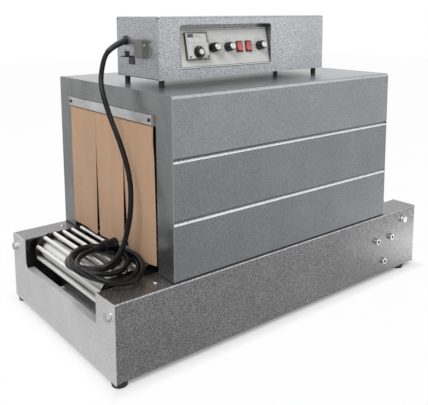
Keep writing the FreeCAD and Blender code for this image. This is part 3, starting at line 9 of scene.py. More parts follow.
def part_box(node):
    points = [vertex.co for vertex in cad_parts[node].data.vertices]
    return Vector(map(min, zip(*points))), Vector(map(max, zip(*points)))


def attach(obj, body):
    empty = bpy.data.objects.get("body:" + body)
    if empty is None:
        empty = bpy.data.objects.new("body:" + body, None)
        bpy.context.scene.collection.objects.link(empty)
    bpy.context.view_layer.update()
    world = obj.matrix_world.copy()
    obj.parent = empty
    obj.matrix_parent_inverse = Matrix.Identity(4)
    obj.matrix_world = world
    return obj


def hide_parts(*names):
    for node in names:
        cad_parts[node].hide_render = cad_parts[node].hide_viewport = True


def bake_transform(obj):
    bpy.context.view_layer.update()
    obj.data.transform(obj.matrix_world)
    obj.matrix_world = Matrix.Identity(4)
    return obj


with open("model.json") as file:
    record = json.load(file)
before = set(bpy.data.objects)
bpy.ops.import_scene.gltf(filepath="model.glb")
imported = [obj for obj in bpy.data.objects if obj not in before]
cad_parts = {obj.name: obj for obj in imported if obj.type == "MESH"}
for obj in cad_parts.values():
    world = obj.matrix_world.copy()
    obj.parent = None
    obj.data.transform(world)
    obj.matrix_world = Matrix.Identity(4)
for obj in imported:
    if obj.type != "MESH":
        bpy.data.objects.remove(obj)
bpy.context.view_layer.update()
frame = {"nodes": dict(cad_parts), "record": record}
nodes = frame["nodes"]
scene = bpy.context.scene
MM = 0.001
TURN = 2 * math.pi


def mm(x, y, z):
    """A point given in millimetres, as a vector in metres."""
    return Vector((x, y, z)) * MM


# Camera: its place in millimetres, its angles in degrees
CAMERA_PLACE = (-812.9, -988.1, 577.0)
CAMERA_YAW, CAMERA_PITCH, CAMERA_ROLL = 51.270, -8.354, -0.216
CAMERA_SENSOR, CAMERA_LENS = 36.0, 52.133
CAMERA_SHIFT = (-0.01063, -0.2329)


def build_camera():
    yaw, pitch, roll = (math.radians(a) for a in (CAMERA_YAW, CAMERA_PITCH, CAMERA_ROLL))
    forward = Vector((math.cos(pitch) * math.cos(yaw), math.cos(pitch) * math.sin(yaw),
                      math.sin(pitch)))
    level = forward.cross(Vector((0, 0, 1))).normalized()
    upright = level.cross(forward)
    right = level * math.cos(roll) + upright * math.sin(roll)
    up = upright * math.cos(roll) - level * math.sin(roll)
    data = bpy.data.cameras.new("camera")
    data.sensor_width = CAMERA_SENSOR
    data.lens = CAMERA_LENS
    data.shift_x, data.shift_y = CAMERA_SHIFT
    data.clip_start = 0.05
    data.clip_end = 100
    camera = bpy.data.objects.new("camera", data)
    scene.collection.objects.link(camera)
    turn = Matrix((right, up, -forward)).transposed().to_4x4()
    camera.matrix_world = Matrix.Translation(mm(*CAMERA_PLACE)) @ turn
    scene.camera = camera


# Shader nodes
def add(tree, kind, inputs=None, **settings):
    """A node with its settings, and its inputs set or linked."""
    node = tree.nodes.new(kind)
    for key, value in settings.items():
        setattr(node, key, value)
    for key, value in (inputs or {}).items():
        if isinstance(value, bpy.types.NodeSocket):
            tree.links.new(value, node.inputs[key])
        else:
            node.inputs[key].default_value = value
    return node


def compute(tree, operation, *values):
    """The result of a Math node."""
    return add(tree, "ShaderNodeMath", dict(enumerate(values)), operation=operation).outputs[0]


def ramp(tree, value, low, high, to_low=0.0, to_high=1.0):
    """A value taken from one range to another, and held beyond the ends."""
    return add(tree, "ShaderNodeMapRange", {
        "Value": value, "From Min": low, "From Max": high,
        "To Min": to_low, "To Max": to_high}).outputs[0]


def seen_rays(tree):
    """1 for the rays that show the background: camera, glossy and transmission rays."""
    path = add(tree, "ShaderNodeLightPath").outputs
    direct = compute(tree, "MAXIMUM", path["Is Camera Ray"], path["Is Glossy Ray"])
    return compute(tree, "MAXIMUM", direct, path["Is Transmission Ray"])


# Studio, in metres: a white floor and sky, and three soft lights
WORLD_LIGHT = 0.34
FLOOR_HALF = 6.0
FLOOR_COLOUR = (0.93, 0.93, 0.93, 1)
FLOOR_GLOW = 0.97
# Half the length and width of the floor under the machine, which doesn't glow, and its soft edge
SHADED_FLOOR = (("X", 0.36), ("Y", 0.18))
SHADED_EDGE = 0.05
# Glossy rays see a floor that gets lighter along X, and a bright zone near the outfeed's front
# corner, a painted reflection: the ramps' from and to ranges, and the zone's middle line
PAINTED_REFLECTION_SLOPE = (-0.7, 0.75, -0.5, 0.1)
PAINTED_REFLECTION_X = (0.3, 0.58, 0.0, 2.6)
PAINTED_REFLECTION_Y = (0.05, 0.12, 1.0, 0.0)
PAINTED_REFLECTION_MIDDLE = -0.27
# Each light's name, place, target, size and power
LIGHTS = (
    ("key", (-1.9, -1.1, 2.2), (-0.2, 0, 0.3), (1.2, 1.2), 42),
    ("fill", (1.9, -2.2, 1.0), (0.2, -0.1, 0.2), (1.4, 1.2), 4),
    ("top", (-0.3, 1.3, 2.5), (0, 0, 0.4), (1.6, 1.2), 18),
)


def build_world():
    world = bpy.data.worlds.new("studio")
    scene.world = world
    world.use_nodes = True
    tree = world.node_tree
    tree.nodes.clear()
    strength = ramp(tree, seen_rays(tree), 0.0, 1.0, WORLD_LIGHT, 1.0)
    sky = add(tree, "ShaderNodeBackground", {"Color": (1, 1, 1, 1), "Strength": strength})
    add(tree, "ShaderNodeOutputWorld", {"Surface": sky.outputs[0]})


def floor_material():
    """White that glows for the rays that show it, apart from the floor under the machine. Glossy
    rays see more glow along X and near the outfeed's front corner, a painted reflection.
    """
    material = bpy.data.materials.new("studio_floor")
    material.use_nodes = True
    tree = material.node_tree
    tree.nodes.clear()
    white = add(tree, "ShaderNodeBsdfDiffuse", {"Color": FLOOR_COLOUR})
    spot = add(tree, "ShaderNodeTexCoord").outputs["Object"]
    place = add(tree, "ShaderNodeSeparateXYZ", {0: spot}).outputs

    # Painted reflection: extra glow for glossy rays along X and near the outfeed's front corner
    reflection_slope = ramp(tree, place["X"], *PAINTED_REFLECTION_SLOPE)
    aside = compute(tree, "ABSOLUTE", compute(tree, "SUBTRACT", place["Y"], PAINTED_REFLECTION_MIDDLE))
    along = ramp(tree, place["X"], *PAINTED_REFLECTION_X)
    painted_reflection = compute(tree, "MULTIPLY_ADD", along, ramp(tree, aside, *PAINTED_REFLECTION_Y), reflection_slope)
    glossy = add(tree, "ShaderNodeLightPath").outputs["Is Glossy Ray"]
    glow = add(tree, "ShaderNodeEmission", {
        "Color": (1, 1, 1, 1), "Strength": compute(tree, "MULTIPLY_ADD", painted_reflection, glossy, 1.0)})

    outside = [ramp(tree, compute(tree, "ABSOLUTE", place[axis]), half, half + SHADED_EDGE)
               for axis, half in SHADED_FLOOR]
    lit = compute(tree, "MULTIPLY", compute(tree, "MAXIMUM", *outside), FLOOR_GLOW)
    share = compute(tree, "MULTIPLY", seen_rays(tree), lit)
    both = add(tree, "ShaderNodeMixShader", {0: share, 1: white.outputs[0], 2: glow.outputs[0]})
    add(tree, "ShaderNodeOutputMaterial", {"Surface": both.outputs[0]})
    return material


def build_floor():
    mesh = bpy.data.meshes.new("floor")
    corners = [(FLOOR_HALF * x, FLOOR_HALF * y, 0) for x, y in ((-1, -1), (1, -1), (1, 1), (-1, 1))]
    mesh.from_pydata(corners, [], [(0, 1, 2, 3)])
    mesh.materials.append(floor_material())
    floor = bpy.data.objects.new("floor", mesh)
    scene.collection.objects.link(floor)


def area_light(name, place, target, size, power):
    data = bpy.data.lights.new(name, "AREA")
    data.shape = "RECTANGLE"
    data.size, data.size_y = size
    data.energy = power
    light = bpy.data.objects.new(name, data)
    scene.collection.objects.link(light)
    light.location = place
    aim = Vector(target) - Vector(place)
    light.rotation_euler = aim.to_track_quat("-Z", "Y").to_euler()


def build_studio():
    build_world()
    build_floor()
    for light in LIGHTS:
        area_light(*light)
    scene.view_settings.view_transform = "Standard"


# Materials
class Finish:
    """A procedural material: a Principled shader with textures in the object's own space."""

    def __init__(self, name, colour, metallic=0.0, roughness=0.5, **more):
        self.mat = bpy.data.materials.new(name)
        self.mat.use_nodes = True
        self.tree = self.mat.node_tree
        self.sockets = next(n for n in self.tree.nodes if n.type == "BSDF_PRINCIPLED").inputs
        self.sockets["Base Color"].default_value = (*colour, 1)
        self.sockets["Metallic"].default_value = metallic
        self.sockets["Roughness"].default_value = roughness
        for key, value in more.items():
            self.sockets[key.replace("_", " ")].default_value = value
        self.colour = colour
        self.space = add(self.tree, "ShaderNodeTexCoord").outputs["Object"]

    def stretched(self, x, y, z):
        """The object's space, scaled along its axes."""
        return add(self.tree, "ShaderNodeMapping", {
            "Vector": self.space, "Scale": (x, y, z)}).outputs[0]

    def noise(self, scale, detail=2.0, rough=0.5, space=None):
        return add(self.tree, "ShaderNodeTexNoise", {
            "Vector": space or self.space, "Scale": scale, "Detail": detail,
            "Roughness": rough}).outputs["Fac"]

    def spread(self, value, low, high, to_low, to_high):
        return ramp(self.tree, value, low, high, to_low, to_high)

    def vary(self, noise, low, high):
        """A noise, most of which lies from 0.3 to 0.7, spread over a range."""
        return self.spread(noise, 0.3, 0.7, low, high)

    def times(self, first, second):
        return compute(self.tree, "MULTIPLY", first, second)

    def shade(self, factor):
        """The colour, made darker or lighter by a factor over the surface."""
        scaled = add(self.tree, "ShaderNodeVectorMath", {0: self.colour, "Scale": factor},
                     operation="SCALE")
        self.tree.links.new(scaled.outputs[0], self.sockets["Base Color"])

    def rough(self, value):
        self.tree.links.new(value, self.sockets["Roughness"])

    def bump(self, height, strength, distance):
        relief = add(self.tree, "ShaderNodeBump", {
            "Height": height, "Strength": strength, "Distance": distance})
        self.tree.links.new(relief.outputs[0], self.sockets["Normal"])


# Hammer-finish paint: what bends the dimples' outlines, in 1/m and m, the distances at a dimple's
# floor and rim, and the scales of the flecks and clouds
WARP_SCALE, WARP_REACH = 330.0, 0.0022
DIMPLE_FLOOR, DIMPLE_RIM = 0.12, 0.62
FLECK_SCALE, CLOUD_SCALE = 420.0, 14.0
FLECK_SHARE = 0.35
# A groove, in millimetres from its line: where its painted shade ends above it and starts below
# it, and the painted highlight on its lip: the lip's drop, half width and gain
GROOVE_PAINTED_SHADE = 0.1
GROOVE_SHADE_FADE = (3.0, 4.6)
GROOVE_SHADE_FOOT = 0.3
LIP_HIGHLIGHT_DROP, LIP_HIGHLIGHT_GAIN = 2.0, 4.2
LIP_HIGHLIGHT_FADE = (1.5, 2.3)
# Over how many millimetres a painted highlight band starts and ends
HIGHLIGHT_START, HIGHLIGHT_END = 1.5, 1.0
# How dark the painted shade on the base's inner walls is
INSIDE_PAINTED_SHADE = 0.12


def hammertone(name, colour, contrast=0.5, cell=2.3, roughness=0.32, metallic=0.8, lines=(),
               bends=(), inside=0.0):
    """Hammer-finish paint: small dimples with bright rims in a metallic grey. Cell is a dimple's
    width in millimetres. Lines are the heights of pressed grooves, with painted shade above each
    and a painted highlight on its lip below. Bends are (low, high, gain), heights between which
    the colour is painted lighter, a painted highlight. Faces less than inside millimetres from
    the middle plane get painted shade."""
    f = Finish(name, colour, metallic, roughness, Coat_Weight=0.35, Coat_Roughness=0.16)
    wobble = add(f.tree, "ShaderNodeTexNoise", {"Vector": f.space, "Scale": WARP_SCALE})
    offset = add(f.tree, "ShaderNodeVectorMath", {
        0: wobble.outputs["Color"], "Scale": WARP_REACH}, operation="SCALE")
    bent = add(f.tree, "ShaderNodeVectorMath", {0: f.space, 1: offset.outputs[0]},
               operation="ADD")
    dimples = add(f.tree, "ShaderNodeTexVoronoi", {
        "Vector": bent.outputs[0], "Scale": 1 / (cell * MM), "Smoothness": 0.35},
        feature="SMOOTH_F1").outputs["Distance"]
    fleck = f.noise(FLECK_SCALE, 2.0, 0.6)
    tone = f.spread(dimples, DIMPLE_FLOOR, DIMPLE_RIM, 1 - contrast, 1 + 1.3 * contrast)
    flecked = FLECK_SHARE * contrast
    tone = f.times(tone, f.spread(fleck, 0.35, 0.65, 1 - flecked, 1 + flecked))
    tone = f.times(tone, f.vary(f.noise(CLOUD_SCALE), 0.95, 1.05))

    place = add(f.tree, "ShaderNodeSeparateXYZ", {0: f.space}).outputs
    height = place["Z"]
    # Painted shade on the faces near the middle plane, the base's inner walls
    if inside:
        aside = compute(f.tree, "ABSOLUTE", place["Y"])
        tone = f.times(tone, f.spread(aside, inside * MM, (inside + 1) * MM, INSIDE_PAINTED_SHADE, 1.0))
    # Painted shade over each groove's upper face, and a painted highlight on the lip below it
    for line in lines:
        above = f.spread(height, *((line + edge) * MM for edge in GROOVE_SHADE_FADE), GROOVE_PAINTED_SHADE, 1.0)
        below = f.spread(height, (line - GROOVE_SHADE_FOOT) * MM, line * MM, 1.0, 0.0)
        from_lip = compute(f.tree, "SUBTRACT", height, (line - LIP_HIGHLIGHT_DROP) * MM)
        lip_highlight = f.spread(compute(f.tree, "ABSOLUTE", from_lip), *(edge * MM for edge in LIP_HIGHLIGHT_FADE),
                       LIP_HIGHLIGHT_GAIN, 1.0)
        tone = f.times(f.times(tone, compute(f.tree, "MAXIMUM", above, below)), lip_highlight)
    # Bands painted lighter: painted highlights
    for low, high, gain in bends:
        tone = f.times(tone, f.spread(height, low * MM, (low + HIGHLIGHT_START) * MM, 1.0, gain))
        tone = f.times(tone, f.spread(height, (high - HIGHLIGHT_END) * MM, high * MM, 1.0, 1 / gain))
    f.shade(tone)
    f.rough(f.spread(dimples, 0.1, 0.7, roughness - 0.08, roughness + 0.1))
    f.bump(dimples, 0.35, 0.0004)
    return f.mat


LINE_SCALE, LINE_STRETCH = 22.0, 40.0
SMEAR_SCALE = 18.0


def brushed(name, colour, direction, roughness=0.3, variation=0.12, metallic=1.0):
    """Metal with fine lines along a direction and slightly uneven gloss."""
    f = Finish(name, colour, metallic, roughness)
    line_space = f.stretched(*(1.0 if axis == direction else LINE_STRETCH for axis in "xyz"))
    lines = f.noise(LINE_SCALE, 4.0, 0.6, line_space)
    smears = f.noise(SMEAR_SCALE, 3.0, 0.6)
    f.shade(f.times(f.vary(lines, 1 - variation, 1 + variation),
                    f.vary(smears, 1 - variation, 1.04)))
    f.rough(f.vary(smears, roughness - 0.06, roughness + 0.12))
    f.bump(lines, 0.12, 0.0002)
    return f.mat


BROAD_SCALE = 30.0


def moulded(name, colour, roughness=0.4, grain=1400.0, strength=0.12, **more):
    """Plastic or rubber with a fine moulded grain."""
    f = Finish(name, colour, 0.0, roughness, **more)
    broad = f.noise(BROAD_SCALE, 3.0)
    f.shade(f.vary(broad, 0.88, 1.12))
    f.rough(f.vary(broad, roughness - 0.05, roughness + 0.08))
    f.bump(f.noise(grain), strength, 0.0002)
    return f.mat


CRYSTAL_SCALE = 160.0


def spangled(name, colour, roughness=0.36):
    """Zinc-coated sheet with faint crystals."""
    f = Finish(name, colour, 0.9, roughness)
    crystals = add(f.tree, "ShaderNodeTexVoronoi", {
        "Vector": f.space, "Scale": CRYSTAL_SCALE})
    grey = add(f.tree, "ShaderNodeSeparateColor", {0: crystals.outputs["Color"]}).outputs[0]
    f.shade(f.spread(grey, 0, 1, 0.86, 1.1))
    f.rough(f.spread(grey, 0, 1, roughness - 0.06, roughness + 0.1))
    return f.mat


WEAVE_SCALE, STAIN_SCALE, STREAK_SCALE = 300.0, 9.0, 30.0


def cloth(name, colour):
    """Coated glass cloth: a fine plain weave under a satin coating, with faint stains."""
    f = Finish(name, colour, 0.0, 0.62, Sheen_Weight=0.05, Sheen_Roughness=0.5)
    warp, weft = (add(f.tree, "ShaderNodeTexWave", {
        "Vector": f.space, "Scale": WEAVE_SCALE, "Distortion": 0.6, "Detail": 1.0},
        bands_direction=axis).outputs["Fac"] for axis in "YZ")
    weave = f.times(warp, weft)
    stain = f.noise(STAIN_SCALE, 4.0, 0.6)
    streak = f.noise(STREAK_SCALE, 3.0, 0.6, f.stretched(1, 1.4, 0.18))
    f.shade(f.times(f.spread(weave, 0, 1, 0.94, 1.04),
                    f.times(f.vary(stain, 0.93, 1.05), f.vary(streak, 0.95, 1.04))))
    f.bump(weave, 0.25, 0.0003)
    return f.mat


def clear(name, colour):
    """Clear glazing."""
    f = Finish(name, colour, 0.0, 0.02, Transmission_Weight=1.0, IOR=1.3)
    f.shade(f.vary(f.noise(20.0), 0.97, 1.0))
    return f.mat


BASE_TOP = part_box("front_side_panel")[1][2] / MM
HOOD_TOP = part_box("hood_shell")[1][2] / MM
# Higher than anything, for a band painted lighter without an upper end
NO_END = 900.0
# Within this many millimetres of the middle plane, the base's inner walls get painted shade
BASE_INNER_WALL = 147.0

LOOKS = {
    # Painted shade on the inner walls, and a painted highlight along the top edge
    "base_paint": (hammertone, dict(
        colour=(0.150, 0.147, 0.151), contrast=0.55, roughness=0.27, inside=BASE_INNER_WALL,
        bends=((BASE_TOP - 2.6, BASE_TOP - 0.2, 2.6),))),
    "end_paint": (hammertone, dict(
        colour=(0.60, 0.60, 0.605), contrast=0.1, cell=3.2, roughness=0.42, metallic=0.5)),
    # Painted shade over the grooves and painted highlights on their lips; a top band painted
    # lighter and a painted highlight along the top bend
    "hood_paint": (hammertone, dict(
        colour=(0.172, 0.176, 0.184), contrast=0.2, lines=(240.0, 343.0),
        bends=((346.5, NO_END, 1.25), (HOOD_TOP - 6, HOOD_TOP - 0.6, 1.9)))),
    "box_paint": (hammertone, dict(colour=(0.31, 0.315, 0.335), contrast=0.42)),
    # The panel's recess, painted much darker than the box paint: painted shade
    "dark_recess": (hammertone, dict(colour=(0.16, 0.16, 0.165))),
    "frame_paint": (brushed, dict(
        colour=(0.31, 0.315, 0.318), direction="z", roughness=0.26, variation=0.07,
        metallic=0.85)),
    "panel_plate": (brushed, dict(
        colour=(0.82, 0.82, 0.80), direction="x", roughness=0.5, variation=0.03, metallic=0.1)),
    "controller_grey": (brushed, dict(
        colour=(0.42, 0.42, 0.40), direction="x", roughness=0.34, variation=0.06, metallic=0.7)),
    "galvanised": (spangled, dict(colour=(0.40, 0.41, 0.42))),
    "bright_steel": (brushed, dict(
        colour=(0.74, 0.74, 0.72), direction="y", roughness=0.4, variation=0.05)),
    "chain_steel": (brushed, dict(
        colour=(0.07, 0.065, 0.06), direction="x", roughness=0.38, variation=0.25)),
    "heater_steel": (brushed, dict(
        colour=(0.27, 0.25, 0.24), direction="y", roughness=0.4, variation=0.2)),
    "zinc": (brushed, dict(
        colour=(0.66, 0.66, 0.64), direction="z", roughness=0.26, variation=0.08)),
    "aluminium": (brushed, dict(
        colour=(0.74, 0.74, 0.73), direction="y", roughness=0.34, variation=0.1)),
    "bronze": (brushed, dict(
        colour=(0.55, 0.36, 0.17), direction="y", roughness=0.35, variation=0.1)),
    "socket_dark": (brushed, dict(
        colour=(0.05, 0.05, 0.05), direction="y", roughness=0.5, variation=0.2)),
    "cap_metal": (brushed, dict(
        colour=(0.55, 0.55, 0.54), direction="x", roughness=0.36, variation=0.08)),
    "bar_metal": (brushed, dict(colour=(0.72, 0.73, 0.74), direction="y", roughness=0.34)),
    "motor_paint": (moulded, dict(colour=(0.03, 0.03, 0.033), roughness=0.45, grain=500.0)),
    "cover_paint": (moulded, dict(colour=(0.16, 0.155, 0.14), grain=400.0)),
    "black_rubber": (moulded, dict(colour=(0.018, 0.018, 0.018), roughness=0.62, grain=900.0)),
    "gasket_rubber": (moulded, dict(
        colour=(0.02, 0.02, 0.02), roughness=0.7, grain=600.0, strength=0.3)),
    "cord_rubber": (moulded, dict(
        colour=(0.004, 0.004, 0.005), roughness=0.24, grain=700.0, strength=0.03,
        Specular_IOR_Level=0.22)),
    "mineral_wool": (moulded, dict(
        colour=(0.5, 0.44, 0.33), roughness=0.9, grain=200.0, strength=1.0)),
    "ceramic": (moulded, dict(colour=(0.8, 0.77, 0.7), roughness=0.6, grain=700.0)),
    "black_plastic": (moulded, dict(colour=(0.014, 0.014, 0.015), roughness=0.3)),
    "red_plastic": (moulded, dict(colour=(0.74, 0.15, 0.135), roughness=0.28, Coat_Weight=0.3)),
    "housing_red": (moulded, dict(colour=(0.10, 0.012, 0.012), roughness=0.3)),
    "board_green": (moulded, dict(colour=(0.03, 0.14, 0.05), grain=300.0)),
    "surround_brown": (moulded, dict(colour=(0.06, 0.035, 0.025))),
    "white_print": (moulded, dict(colour=(0.82, 0.82, 0.8), roughness=0.5)),
    "dark_print": (moulded, dict(colour=(0.03, 0.03, 0.04), roughness=0.5)),
    "white_face": (moulded, dict(
        colour=(0.80, 0.80, 0.79), roughness=0.45, grain=300.0, strength=0.04)),
    "curtain_cloth": (cloth, dict(colour=(0.55, 0.345, 0.215))),
    "clear_window": (clear, dict(colour=(0.98, 0.99, 0.99))),
}


# Meshes
def piece(name, slot, mats=None):
    """An object with an empty mesh and the slot's material, or several others."""
    mesh = bpy.data.meshes.new(name)
    for mat in mats or [slot]:
        mesh.materials.append(materials[mat])
    obj = bpy.data.objects.new(name, mesh)
    scene.collection.objects.link(obj)
    return obj


def finish_piece(obj, bm, body="root", smooth=35.0):
    """The mesh put in the object, smooth up to an angle in degrees, and riding on a body."""
    bmesh.ops.remove_doubles(bm, verts=bm.verts, dist=1e-7)
    bmesh.ops.recalc_face_normals(bm, faces=bm.faces)
    bm.to_mesh(obj.data)
    bm.free()
    for polygon in obj.data.polygons:
        polygon.use_smooth = True
    obj.data.set_sharp_from_angle(angle=math.radians(smooth))
    if body:
        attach(obj, body)


def as_mesh(obj):
    """A new mesh with the evaluated shape of an object."""
    bpy.context.view_layer.update()
    evaluated = obj.evaluated_get(bpy.context.evaluated_depsgraph_get())
    return bpy.data.meshes.new_from_object(evaluated)


def facing(origin, outward):
    """The frame at a point whose Z axis is a direction."""
    turn = Vector(outward).normalized().to_track_quat("Z", "Y").to_matrix().to_4x4()
    return Matrix.Translation(origin) @ turn


def skin(bm, layers, material=0):
    """A closed skin over rings of vertices, with a face over each end."""
    for lower, upper in zip(layers, layers[1:]):
        for index in range(len(lower)):
            following = (index + 1) % len(lower)
            face = bm.faces.new((lower[index], lower[following], upper[following], upper[index]))
            face.material_index = material
    for layer in (layers[0], layers[-1]):
        bm.faces.new(layer).material_index = material


def turned(bm, rings, place, segments=32, material=0):
    """A solid of rings (radius, height[, shape]) stacked along the place's Z axis. A shape is a
    function of the angle that scales the ring."""
    layers = []
    for radius, height, *shape in rings:
        layer = []
        for index in range(segments):
            angle = TURN * index / segments
            reach = radius * (shape[0](angle) if shape else 1) * MM
            corner = Vector((reach * math.cos(angle), reach * math.sin(angle), height * MM))
            layer.append(bm.verts.new(place @ corner))
        layers.append(layer)
    skin(bm, layers, material)


def tube(bm, line, radius_at, segments):
    """A round skin along a line of points; radius_at gives the radius at a distance along it."""
    travelled = 0.0
    layers = []
    side = None
    for index, point in enumerate(line):
        ahead = line[min(index + 1, len(line) - 1)] - line[max(index - 1, 0)]
        ahead.normalize()
        if index:
            travelled += (point - line[index - 1]).length
        if side is None:
            side = ahead.orthogonal().normalized()
        side = (side - ahead * side.dot(ahead)).normalized()
        other = ahead.cross(side)
        radius = radius_at(travelled)
        layer = []
        for step in range(segments):
            angle = TURN * step / segments
            reach = (side * math.cos(angle) + other * math.sin(angle)) * radius
            layer.append(bm.verts.new(point + reach))
        layers.append(layer)
    skin(bm, layers)


def block(bm, low, high, place, material=0):
    """A box between two corners, in millimetres, in the place's frame."""
    corners = [(x, y, z) for z in (low[2], high[2]) for y in (low[1], high[1])
               for x in (low[0], high[0])]
    verts = [bm.verts.new(place @ (Vector(corner) * MM)) for corner in corners]
    for quad in ((0, 1, 3, 2), (4, 6, 7, 5), (0, 4, 5, 1),
                 (2, 3, 7, 6), (0, 2, 6, 4), (1, 5, 7, 3)):
        bm.faces.new([verts[index] for index in quad]).material_index = material


# Power cord: from the gland down to the coil on the rods, in millimetres
CORD_DIAMETER = 9.0
CORD_ROUTE = (
    (-252, -4, 521.5), (-266, -5, 516), (-285, -10, 503), (-305, -30, 470), (-311, -43, 445),
    (-308, -61, 405), (-302, -90, 354), (-300, -114, 302), (-305, -121, 249), (-311, -117, 212),
    (-320, -115, 185), (-331, -111, 167.5), (-344, -105, 157.8), (-357, -97, 154.8),
)
INTO_COIL = ((-369.5, -86, 154.4), (-378, -72, 154.4))
# The outermost points of the turns, going west, north, east, south
COIL_TURNS = (
    (-381, -57, 154.4), (-341, -17, 154.4), (-301, -60, 154.4), (-344, -105, 154.4),
    (-390, -60, 154.4), (-341, -9, 154.4), (-293.5, -66, 158.4), (-342, -130, 153.5),
    (-388, -76, 162.4), (-338, -13, 162.4), (-285.5, -84, 155.5), (-341, -158, 150),
    (-396, -88, 162.3), (-341, -21, 163.0), (-287, -98, 163.5), (-342, -176, 153),
    (-396, -110, 170), (-338, -57, 172),
)
QUARTER_STEPS = 4
PLUG_START = COIL_TURNS[-1]
# Ribbed sleeve where the cord leaves the gland, in metres
SLEEVE_LENGTH = 0.030
SLEEVE_RADIUS, SLEEVE_TAPER = 0.0056, 0.0009
SLEEVE_RIB, SLEEVE_PITCH = 0.0004, 0.0042
SLEEVE_STEP = 0.0006
# Plug: its neck's ribs, its grip as (radius, height) and its pins, in millimetres
NECK_RIBS, NECK_START, NECK_PITCH = 5, 0.6, 2.6
NECK_RADIUS, NECK_GROWTH = 6.0, 0.8
GRIP_RINGS = (
    (9.6, 13.8), (11.2, 15.0), (11.8, 17.0), (10.9, 23.0), (10.8, 27.0), (11.9, 33.0),
    (12.4, 35.0), (12.4, 37.2), (11.8, 38.0), (8.0, 38.0),
)
PIN_RINGS = ((2.0, 37.0), (2.0, 53.6), (1.7, 54.5), (1.0, 55.0))
PIN_ASIDE = 8.5


def coil_points():
    """The turns of the coil, as quarters of ellipses, seen from above going clockwise."""
    points = []
    for index, (start, end) in enumerate(zip(COIL_TURNS, COIL_TURNS[1:])):
        for step in range(QUARTER_STEPS):
            share = step / QUARTER_STEPS
            near, far = 1 - math.cos(share * math.pi / 2), math.sin(share * math.pi / 2)
            climb = (1 - math.cos(share * math.pi)) / 2
            shares = (near, far, climb) if index % 2 == 0 else (far, near, climb)
            points.append(tuple(a + (b - a) * part for a, b, part in zip(start, end, shares)))
    return points + [PLUG_START]


def nurbs(name, points, depth):
    """A cord's spline, and the points along its middle line."""
    data = bpy.data.curves.new(name, "CURVE")
    data.dimensions = "3D"
    data.resolution_u = 6
    spline = data.splines.new("NURBS")
    spline.points.add(len(points) - 1)
    for target, point in zip(spline.points, points):
        target.co = (*mm(*point), 1)
    spline.order_u = 3
    spline.use_endpoint_u = True
    obj = bpy.data.objects.new(name, data)
    scene.collection.objects.link(obj)
    line_mesh = as_mesh(obj)
    line = [vertex.co.copy() for vertex in line_mesh.vertices]
    bpy.data.meshes.remove(line_mesh)
    data.bevel_depth = depth
    data.bevel_resolution = 5
    data.use_fill_caps = True
    return obj, line


def build_cord():
    points = list(CORD_ROUTE) + list(INTO_COIL) + coil_points()
    cord, line = nurbs("mains_cord", points, CORD_DIAMETER / 2 * MM)
    cord.data.materials.append(materials["cord_rubber"])
    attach(cord, "root")
    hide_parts("power_cord", "power_cord_coil")
    sleeve = build_sleeve(line)
    plug = build_plug()


def build_sleeve(line):
    """A tapered, ribbed sleeve over the cord's first stretch."""
    kept = [line[0]]
    travelled = 0.0
    for a, b in zip(line, line[1:]):
        pieces = max(1, round((b - a).length / SLEEVE_STEP))
        for index in range(pieces):
            travelled += (b - a).length / pieces
            if travelled <= SLEEVE_LENGTH:
                kept.append(a.lerp(b, (index + 1) / pieces))

    def radius_at(distance):
        taper = SLEEVE_RADIUS - SLEEVE_TAPER * distance / SLEEVE_LENGTH
        return taper + SLEEVE_RIB * (0.5 + 0.5 * math.cos(TURN * distance / SLEEVE_PITCH))
    sleeve = piece("cord_sleeve", "black_plastic")
    bm = bmesh.new()
    tube(bm, kept, radius_at, segments=20)
    finish_piece(sleeve, bm)
    return sleeve


def build_plug():
    """A moulded two-pin plug: ribbed neck, waisted grip and round pins."""
    rubber, steel = range(2)
    plug = piece("mains_plug", "cord_rubber", ["cord_rubber", "bright_steel"])
    bm = bmesh.new()
    rings = [(4.8, 0)]
    for index in range(NECK_RIBS):
        start = NECK_START + index * NECK_PITCH
        radius = NECK_RADIUS + index * NECK_GROWTH
        rings.extend([(radius, start), (radius + 0.2, start + 1.5), (radius - 0.9, start + 1.7),
                      (radius - 0.8, start + 2.4)])
    rings.extend(GRIP_RINGS)
    turned(bm, rings, facing(mm(*PLUG_START), (1, 0, 0)), 40, rubber)
    x, y, z = PLUG_START
    for side in (-1, 1):
        turned(bm, PIN_RINGS, facing(mm(x, y + side * PIN_ASIDE, z), (1, 0, 0)), 16, steel)
    finish_piece(plug, bm)
    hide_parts("power_plug")
    return plug


# Small metal parts, placed from the CAD solids that they stand for, in millimetres
ROD_RADIUS, ROD_CHAMFER = 4.0, 0.6
SHANK_SHARE = 0.45
# A head higher than this is a socket-cap head
TALL_HEAD = 4.0
# How far the socket's dark hexagon, painted shade, stands over the head
SOCKET_LIFT = 0.02
# The screws of the curtain bars are beyond this X and above this Z
BAR_X, BAR_Z = 270, 380


def islands(node_name):
    """The separate solids of a CAD node, each as its vertices' places in millimetres."""
    mesh = nodes[node_name].data
    parent = {}

    def top(key):
        while parent[key] != key:
            parent[key] = parent[parent[key]]
            key = parent[key]
        return key
    keys = []
    for vertex in mesh.vertices:
        key = tuple(round(value / MM, 3) for value in vertex.co)
        parent.setdefault(key, key)
        keys.append(key)
    for edge in mesh.edges:
        one, two = (top(keys[index]) for index in edge.vertices)
        parent[one] = two
    groups = {}
    for key in parent:
        groups.setdefault(top(key), []).append(Vector(key))
    return list(groups.values())


def limits(points):
    """The low and high corner of the points' box."""
    low = Vector([min(point[axis] for point in points) for axis in range(3)])
    high = Vector([max(point[axis] for point in points) for axis in range(3)])
    return low, high


def hexagon(angle):
    """How far a hexagon's side is from its middle at an angle, its corners at 1."""
    step = TURN / 6
    return math.cos(step / 2) / math.cos((angle % step) - step / 2)


